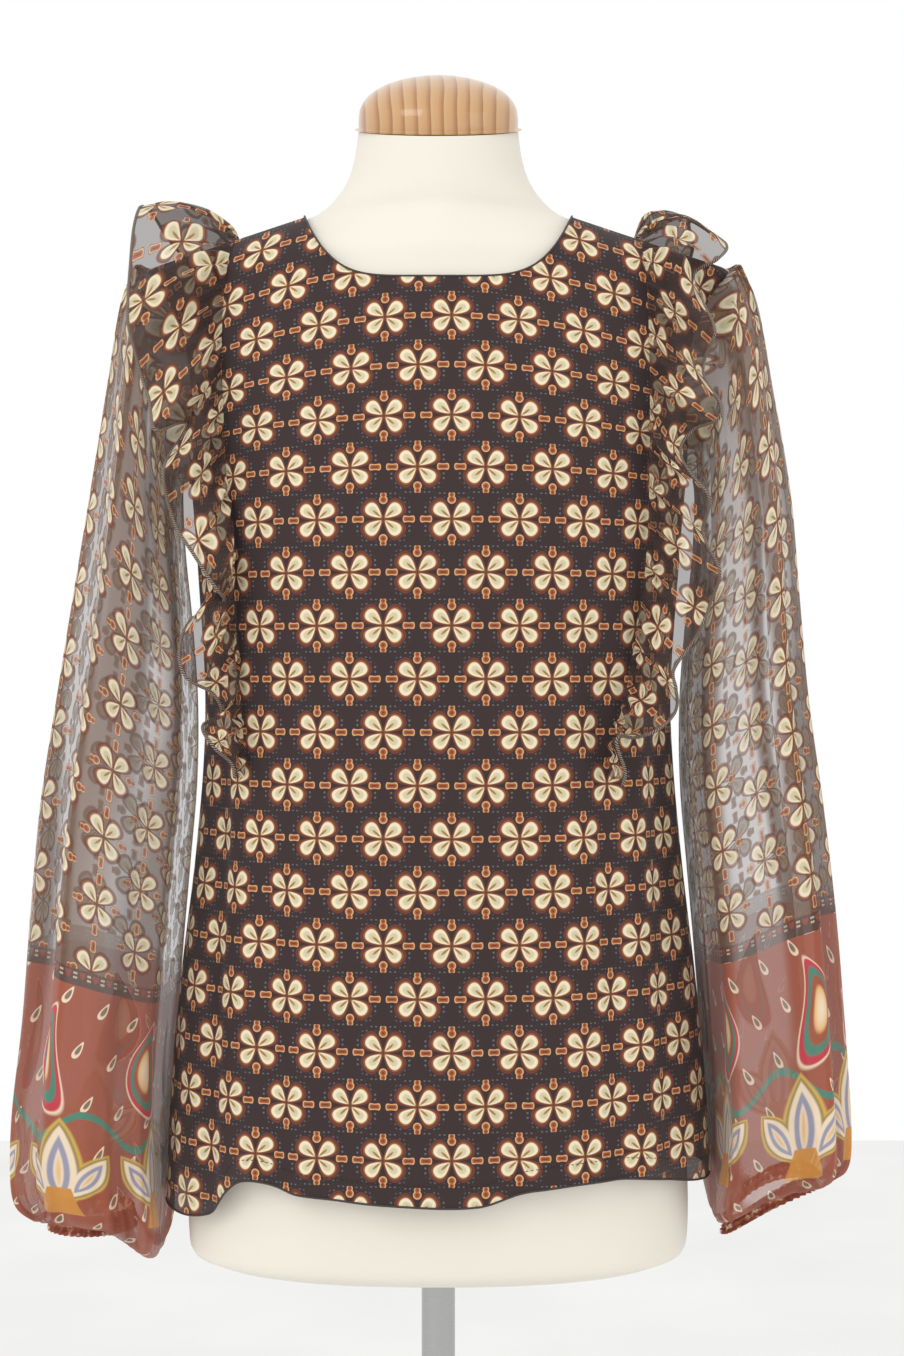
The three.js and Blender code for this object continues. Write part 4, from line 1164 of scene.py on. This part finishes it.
rightSleeve = sleeve("sleeve_right_cloth", -1, rightSleeveSections, 7.4, sleevePaint, borderPaint)
leftSleeve = sleeve("sleeve_left_cloth", 1, leftSleeveSections, 6.95, sleevePaint, borderPaint)
rightCuff = cuff("cuff_right_cloth", -1, rightCuffSections, cuffPaint)
leftCuff = cuff("cuff_left_cloth", 1, leftCuffSections, cuffPaint)
dress(rightSleeve, "sheer_chiffon", "sleeve_right")
dress(leftSleeve, "sheer_chiffon", "sleeve_left")
dress(rightCuff, "border_chiffon", "cuff_right")
dress(leftCuff, "border_chiffon", "cuff_left")

# Ruffles
print("ruffles")
ruffleCut = {
    "rows": 330,
    "columns": 16,
    "lift": 0.0012,
    "ridgeHeight": 1.168,
    "backHeight": 1.12,
    "endHeight": 0.817,
    "fullness": 1.3,
    "gathers": 41,
    "gatherDepth": 0.0018,
    "crumple": 0.0035,
    "slide": 0.003,
    "width": 0.06,
    "backSteps": 60,
    "frontSteps": 120,
}


# The running length along a line of points
def runLengths(points):
    lengths = [0.0]
    for a, b in zip(points, points[1:]):
        lengths.append(lengths[-1] + (b - a).length)
    return lengths


# Places at even lengths along a seam, over the shoulder from the back to the front, with their normals
def ruffleSeam(sign, count):
    ridge = shoulderHeight(seamAcross(sign, ruffleCut["ridgeHeight"]))
    back, front = ruffleCut["backSteps"], ruffleCut["frontSteps"]
    line = [(1, mix(ridge, ruffleCut["backHeight"], (1 - i / back) ** 2)) for i in range(back + 1)]
    line += [(-1, mix(ridge, ruffleCut["endHeight"], (i / front) ** 2)) for i in range(1, front + 1)]
    spots = [bodySurface(seamAcross(sign, height), height, side) for side, height in line]
    lengths = runLengths([point for point, _ in spots])
    places = []
    k = 0
    for i in range(count + 1):
        want = lengths[-1] * i / count
        while k < len(lengths) - 2 and lengths[k + 1] < want:
            k += 1
        t = (want - lengths[k]) / (lengths[k + 1] - lengths[k])
        (a, before), (b, after) = spots[k], spots[k + 1]
        places.append((a.lerp(b, t), before.lerp(after, t).normalized()))
    return places, lengths[-1]


def ruffle(name, sign, edge, paint):
    count = ruffleCut["rows"]
    places, length = ruffleSeam(sign, count)

    @lru_cache(maxsize=None)
    def line(i):
        point, normal = places[i]
        row = along(edge, i / count)
        start = point + normal * ruffleCut["lift"]
        out = Vector((row.x, row.y, row.z)) - start
        tangent = (places[min(i + 1, count)][0] - places[max(i - 1, 0)][0]).normalized()
        lift = (tangent.cross(out) * sign).normalized()
        return start, out, lift, tangent, row.belly

    def place(s, t):
        i = round((1 - t) * count)
        start, out, lift, tangent, arch = line(i)
        belly = arch * math.sin(math.pi * s) * (1 + uneven(i * 0.05, sign))
        phase = 2 * math.pi * ruffleCut["gathers"] * i / count + 2 * uneven(i * 0.1, 7)
        small = ruffleCut["gatherDepth"] * math.sin(phase)
        small *= (1 - s) ** 1.2 * smooth(s, 0, 0.08) * 2
        crumple = ruffleCut["crumple"] * uneven(i * 0.07, s * 2.5, sign) * smooth(s, 0, 0.35)
        slide = ruffleCut["slide"] * uneven(i * 0.06, s * 2, sign + 9) * smooth(s, 0.1, 0.6)
        return start + out * s + lift * (belly + small + crumple) + tangent * slide

    def lay(s, t):
        return (1 - t) * length * ruffleCut["fullness"], s * ruffleCut["width"]

    return clothSheet(name, ruffleCut["columns"], count, place, lay, paint, turned=sign < 0), place


rightRuffle, rightRufflePlace = ruffle("ruffle_right_cloth", -1, rightRuffleEdge, rufflePaint)
leftRuffle, leftRufflePlace = ruffle("ruffle_left_cloth", 1, leftRuffleEdge, rufflePaint)
dress(rightRuffle, "sheer_chiffon", "ruffle_right")
dress(leftRuffle, "sheer_chiffon", "ruffle_left")

# Threads, edges and the button
print("trims")
trim = {
    "overlock": 0.0011,
    "roll": 0.0007,
    "thread": 0.00028,
    "stitch": 0.0022,
    "stitchStep": 0.0032,
    "hemStitch": 0.0135,
    "loop": 0.0006,
    "cuffRows": 3,
    "cuffSteps": 1200,
    "hemEdge": 0.0006,
    "hemSteps": 240,
    "neckSteps": 120,
    "neckEdge": 0.0004,
}


# A thin round cord along a line of points, closed at its ends, with its length along the cloth map
def cord(name, points, radius, sides, paint):
    bm = bmesh.new()
    flatMap = bm.loops.layers.uv.new("cloth")
    rings = []
    runs = runLengths(points)
    side = None
    for i, point in enumerate(points):
        tangent = (points[min(i + 1, len(points) - 1)] - points[max(i - 1, 0)]).normalized()
        if side is None:
            side = tangent.orthogonal().normalized()
        side = (side - tangent * side.dot(tangent)).normalized()
        other = tangent.cross(side)
        ring = []
        for k in range(sides):
            turn = 2 * math.pi * k / sides
            ring.append(bm.verts.new(point + (side * math.cos(turn) + other * math.sin(turn)) * radius))
        rings.append(ring)
    for i, (near, far) in enumerate(zip(rings, rings[1:])):
        for k in range(sides):
            after = (k + 1) % sides
            face = bm.faces.new((near[k], near[after], far[after], far[k]))
            face.smooth = True
            for loop, uv in zip(face.loops, ((i, k), (i, k + 1), (i + 1, k + 1), (i + 1, k))):
                loop[flatMap].uv = (runs[uv[0]], uv[1] / sides * 0.01)
    bm.faces.new(list(reversed(rings[0])))
    bm.faces.new(rings[-1])
    bmesh.ops.recalc_face_normals(bm, faces=bm.faces)
    return meshPiece(name, bm, paint)


# A row of stitches along a line of points with normals: each is a small pointed thread on the cloth
def stitchRow(name, spots, paint):
    bm = bmesh.new()
    lengths = runLengths([point for point, _ in spots])
    want = 0.0
    k = 0
    while want < lengths[-1]:
        while k < len(lengths) - 2 and lengths[k + 1] < want:
            k += 1
        share = (want - lengths[k]) / max(lengths[k + 1] - lengths[k], 0.00001)
        point = spots[k][0].lerp(spots[k + 1][0], share)
        normal = spots[k][1].lerp(spots[k + 1][1], share).normalized()
        run = (spots[k + 1][0] - spots[k][0]).normalized()
        across = run.cross(normal).normalized() * trim["thread"]
        out = normal * trim["thread"]
        middle = point + out * 1.2
        ends = [bm.verts.new(middle + run * trim["stitch"] / 2 * way - out) for way in (-1, 1)]
        ring = [bm.verts.new(middle + shift) for shift in (across, out, -across, -out)]
        for a, b in zip(ring, ring[1:] + ring[:1]):
            bm.faces.new((ends[0], b, a)).smooth = True
            bm.faces.new((ends[1], a, b)).smooth = True
        want += trim["stitchStep"]
    bmesh.ops.recalc_face_normals(bm, faces=bm.faces)
    return meshPiece(name, bm, paint)


# The hem's front and back lines, this far above the hem, as points with normals
def hemSpots(rise):
    steps = trim["hemSteps"]
    halfWidth = 0.99 * armholeAcross(1, bodyRings[0]["height"])
    spots = []
    for side in (-1, 1):
        line = []
        for i in range(steps + 1):
            across = -halfWidth * math.cos(math.pi * i / steps)
            height = hemHeight(across, side) + rise
            point, normal = bodySurface(across, height, side)
            line.append((point + normal * 0.0001, normal))
        spots.append(line)
    return spots


def edging(name, points):
    dress(cord(name, points, trim["roll"], 6, edgePaint), "printed_chiffon")


def overlockPaintOf():
    paint = Paint("overlock")
    u, v = paint.flat()
    wrap = (u + v * 0.5) % 1.7
    dash = (0.42 - abs(wrap - 0.85)).math("MULTIPLY", 4.0, clamp=True)
    colour = paint.blend(dash, ink(50, 40, 40), ink(176, 156, 136))
    return paint.finish({"Base Color": colour, "Roughness": 0.7})


overlockPaint = overlockPaintOf()
for name, sign, place in (("right", -1, rightRufflePlace), ("left", 1, leftRufflePlace)):
    edgePoints = [place(1.0, 1 - i / ruffleCut["rows"]) for i in range(ruffleCut["rows"] + 1)]
    edgeCord = cord("ruffle_%s_overlock" % name, edgePoints, trim["overlock"], 6, overlockPaint)
    dress(edgeCord, "sheer_chiffon")

for name, line in zip(("front", "back"), hemSpots(trim["hemStitch"])):
    dress(stitchRow("hem_%s_stitches" % name, line, darkThread), "printed_chiffon")
for name, line in zip(("front", "back"), hemSpots(trim["hemEdge"])):
    edging("hem_%s_edge" % name, [point for point, _ in line])


# The neck's edge from shoulder to shoulder
def neckEdge(side):
    points = []
    for i in range(trim["neckSteps"] + 1):
        across = -neck["halfWidth"] * math.cos(math.pi * i / trim["neckSteps"])
        height = topHeight(across, side) - trim["neckEdge"]
        points.append(bodySurface(across, height, side)[0])
    return points


backNeck = [point for point in neckEdge(1) if abs(point.x) > slit["half"] + 0.0005]
slitTop = topHeight(0, 1)
edging("neck_front_edge", neckEdge(-1))
for name, sign in (("right", -1), ("left", 1)):
    edging("neck_back_%s_edge" % name, [point for point in backNeck if sign * point.x > 0])
    run = []
    stitched = []
    for i in range(slit["steps"] + 1):
        height = mix(slitFoot + slit["edgeFoot"], slitTop - slit["edgeGap"], i / slit["steps"])
        run.append(bodySurface(sign * (slit["half"] + slit["edgeGap"]), height, 1)[0])
        height = mix(slitFoot, slitTop - slit["stitchGap"], i / slit["steps"])
        stitched.append(bodySurface(sign * (slit["half"] + slit["stitchGap"]), height, 1))
    edging("slit_%s_edge" % name, run)
    dress(stitchRow("slit_%s_stitches" % name, stitched, darkThread), "printed_chiffon")


# A solid turned round the vertical axis from an outline of radii and heights
def lathe(name, outline, sides, paint):
    bm = bmesh.new()
    verts = [bm.verts.new((radius, 0, height)) for radius, height in outline]
    edges = [bm.edges.new(pair) for pair in zip(verts, verts[1:])]
    whole = {"cent": (0, 0, 0), "axis": (0, 0, 1), "angle": 2 * math.pi}
    bmesh.ops.spin(bm, geom=verts + edges, steps=sides, use_merge=True, **whole)
    bmesh.ops.remove_doubles(bm, verts=bm.verts, dist=0.00002)
    bmesh.ops.dissolve_degenerate(bm, edges=bm.edges, dist=0.00001)
    bmesh.ops.recalc_face_normals(bm, faces=bm.faces)
    for face in bm.faces:
        face.smooth = True
    return meshPiece(name, bm, paint)


button = {
    "radius": 0.005,
    "thick": 0.0026,
    "edge": 0.0006,
    "dish": 0.0007,
    "lift": 0.0005,
    "inset": 0.001,
    "spread": 0.0013,
    "threadSteps": 24,
}

# A turned button with a dished face, sewn on with a ring of thread
radius, thick = button["radius"], button["thick"]
buttonOutline = [
    (0.0, 0.0),
    (radius - button["edge"], 0.0),
    (radius, button["edge"]),
    (radius, thick - button["edge"]),
    (radius - button["edge"], thick),
    (radius * 0.72, thick),
    (radius * 0.6, thick - button["dish"]),
    (0.0, thick - button["dish"] - 0.0001),
]
buttonHeight = neck["pointHeight"] - neck["backDrop"] - 2 * button["radius"]
buttonPlace, buttonNormal = bodySurface(slit["half"] + button["radius"] + button["inset"], buttonHeight, 1)
buttonTurn = buttonNormal.to_track_quat("Z", "Y")
buttonSpot = buttonPlace + buttonNormal * button["lift"]
shellButton = lathe("button", buttonOutline, 64, shellPaint)
for vert in shellButton.data.vertices:
    vert.co = buttonTurn @ vert.co + buttonSpot
dress(shellButton, "button", "back_button")

threadPoints = []
for i in range(button["threadSteps"] + 1):
    turn = 2 * math.pi * i / button["threadSteps"]
    ring = Vector((math.cos(turn), math.sin(turn), 0)) * button["spread"]
    threadPoints.append(buttonSpot + buttonTurn @ (ring + Vector((0, 0, thick - 0.0006))))
dress(cord("button_thread", threadPoints, trim["thread"], 6, paleThread), "button")

loopCut = {
    "steps": 48,
    "start": 0.0045,
    "reach": 0.0155,
    "rise": 0.0056,
    "lean": 0.1,
    "lift": 0.0011,
    "root": 0.0004,
}
loopPoints = []
for i in range(loopCut["steps"] + 1):
    swing = 2 * math.pi * i / loopCut["steps"]
    across = slit["half"] - loopCut["start"] + loopCut["reach"] * (1 - math.cos(swing)) / 2
    rise = math.sin(swing) * loopCut["rise"] * (1 + loopCut["lean"] * math.cos(swing / 2))
    point, normal = bodySurface(across, buttonHeight + rise, 1)
    loopPoints.append(point + normal * loopCut["lift" if i % loopCut["steps"] else "root"])
dress(cord("button_loop", loopPoints, trim["loop"], 8, darkThread), "printed_chiffon")


def cuffRow(sign, sections, share):
    spots = []
    for i in range(trim["cuffSteps"] + 1):
        around = i / trim["cuffSteps"]
        turn = 2 * math.pi * around
        section = along(sections, mix(sections[-1]["row"], 0, share))
        section.gathers *= cuffDepth((around - 0.5) % 1.0, sign)
        point = sectionPoint(section, turn, sign, cuffCut["ripples"])
        normal = Vector((sign * math.cos(turn), -math.sin(turn), 0)).normalized()
        spots.append((point + normal * cuffCut["pinch"], normal))
    return spots


for name, sign, sections in (("right", -1, rightCuffSections), ("left", 1, leftCuffSections)):
    for k in range(trim["cuffRows"]):
        rowSpots = cuffRow(sign, sections, (k + 0.7) / (trim["cuffRows"] + 0.4))
        dress(stitchRow("cuff_%s_stitches_%d" % (name, k + 1), rowSpots, rustThread), "border_chiffon")

# The dress form
print("dress form")
formGrid = {"columns": 128, "rows": 170}
capShape = {"lean": math.atan(0.29), "gap": 0.0003, "sides": 96, "steps": 8}


def formPoint(s, t):
    height = mix(formRings[0]["height"], formRings[-1]["height"], t)
    ring = along(formRings, height)
    turn = 2 * math.pi * s
    power = 2 / ring.squareness
    x = ring.halfWidth * math.copysign(abs(math.sin(turn)) ** power, math.sin(turn))
    y = -(ring.front if math.cos(turn) > 0 else ring.back)
    y *= math.copysign(abs(math.cos(turn)) ** power, math.cos(turn))
    return Vector((x, y, height + ring.lean * y))


def formTorso():
    bm = bmesh.new()
    bmesh.ops.create_grid(bm, x_segments=formGrid["columns"], y_segments=formGrid["rows"], size=0.5)
    for vert in bm.verts:
        vert.co = formPoint(vert.co.x + 0.5, clamp(vert.co.y + 0.5))
    bmesh.ops.remove_doubles(bm, verts=bm.verts, dist=0.00005)
    for face in bm.faces:
        face.smooth = True
    bmesh.ops.holes_fill(bm, edges=[edge for edge in bm.edges if edge.is_boundary])
    bmesh.ops.recalc_face_normals(bm, faces=bm.faces)
    return meshPiece("form_cover", bm, jerseyPaint)


def shadeByAngle(piece, degrees):
    piece.data.set_sharp_from_angle(angle=math.radians(degrees))


torsoPiece = formTorso()
shadeByAngle(torsoPiece, 60)
dress(torsoPiece, "form_jersey", "form_torso")

capRows = [dict(share=i, **row) for i, row in enumerate(capOutline)]
capSteps = capShape["steps"] * (len(capRows) - 1)
capCurve = [along(capRows, i / capShape["steps"]) for i in range(capSteps + 1)]
capProfile = [(max(spot.radius, 0), spot.height) for spot in capCurve]
capPiece = lathe("wood_cap", capProfile, capShape["sides"], pinePaint)
capUp = Vector((0, -math.sin(capShape["lean"]), math.cos(capShape["lean"])))
capFront = Vector((0, math.cos(capShape["lean"]), math.sin(capShape["lean"])))
capFoot = Vector((0, 0, formRings[-1]["height"]))
for vert in capPiece.data.vertices:
    across = Vector((vert.co.x, 0, 0))
    vert.co = across + capUp * (vert.co.z + capShape["gap"]) + capFront * vert.co.y + capFoot
shadeByAngle(capPiece, 40)
dress(capPiece, "lacquered_pine", "neck_cap")

stand = {
    "pole": 0.011,
    "foot": 0.0423,
    "head": 0.4997,
    "base": 0.165,
    "thick": 0.016,
    "collar": 0.024,
    "collarTop": 0.042,
}
pole, base, thick, collar, top = (stand[name] for name in ("pole", "base", "thick", "collar", "collarTop"))
poleOutline = [(0, stand["foot"]), (pole, stand["foot"]), (pole, stand["head"]), (0, stand["head"])]
baseOutline = [
    (0, 0),
    (base - 0.001, 0),
    (base, 0.001),
    (base, thick - 0.004),
    (base - 0.001, thick - 0.0015),
    (base - 0.004, thick),
    (collar + 0.002, thick),
    (collar, thick + 0.002),
    (collar - 0.002, top - 0.002),
    (collar - 0.004, top),
    (0, top),
]
polePiece = lathe("steel_pole", poleOutline, 64, steelPaint)
basePiece = lathe("steel_base", baseOutline, 128, steelPaint)
for piece in (polePiece, basePiece):
    shadeByAngle(piece, 35)
dress(polePiece, "brushed_steel", "stand_pole")
dress(basePiece, "brushed_steel", "stand_base", "stand_collar")

# Floor, light and camera
print("stage")
studio = {"floor": 6.0, "eye": (0.009, -1.6, 0.877), "lens": 64.4}
floorGrid = bmesh.new()
bmesh.ops.create_grid(floorGrid, x_segments=1, y_segments=1, size=studio["floor"] / 2)
floorPaint = Paint("pale_floor")
floorTones = [(0.3, ink(236, 236, 234)), (0.7, ink(242, 242, 240))]
floorPaint.finish({"Base Color": floorPaint.ramp(floorPaint.noise(3.0), floorTones), "Roughness": 0.7})
floor = meshPiece("floor", floorGrid, floorPaint)


def softLight(name, place, target, size, power):
    light = bpy.data.lights.new(name, "AREA")
    light.shape = "SQUARE"
    light.size = size
    light.energy = power
    lamp = bpy.data.objects.new(name, light)
    lamp.location = place
    lamp.rotation_euler = (Vector(target) - Vector(place)).to_track_quat("-Z", "Y").to_euler()
    bpy.context.scene.collection.objects.link(lamp)


softLight("key_light", (-1.5, -1.9, 2.1), (0, 0, 0.9), 1.3, 13)
softLight("fill_light", (1.9, -1.3, 1.4), (0, 0, 0.9), 1.3, 3)

world = bpy.data.worlds.new("studio")
bpy.context.scene.world = world
world.use_nodes = True
background = world.node_tree.nodes["Background"].inputs
background["Color"].default_value = (1, 1, 1, 1)
background["Strength"].default_value = 1.0
bpy.context.scene.view_settings.view_transform = "Standard"

eye = bpy.data.cameras.new("photo_camera")
eye.lens = studio["lens"]
eye.sensor_width = 36
camera = bpy.data.objects.new("photo_camera", eye)
camera.location = studio["eye"]
camera.rotation_euler = (math.pi / 2, 0, 0)
bpy.context.scene.collection.objects.link(camera)
bpy.context.scene.camera = camera

print("done")
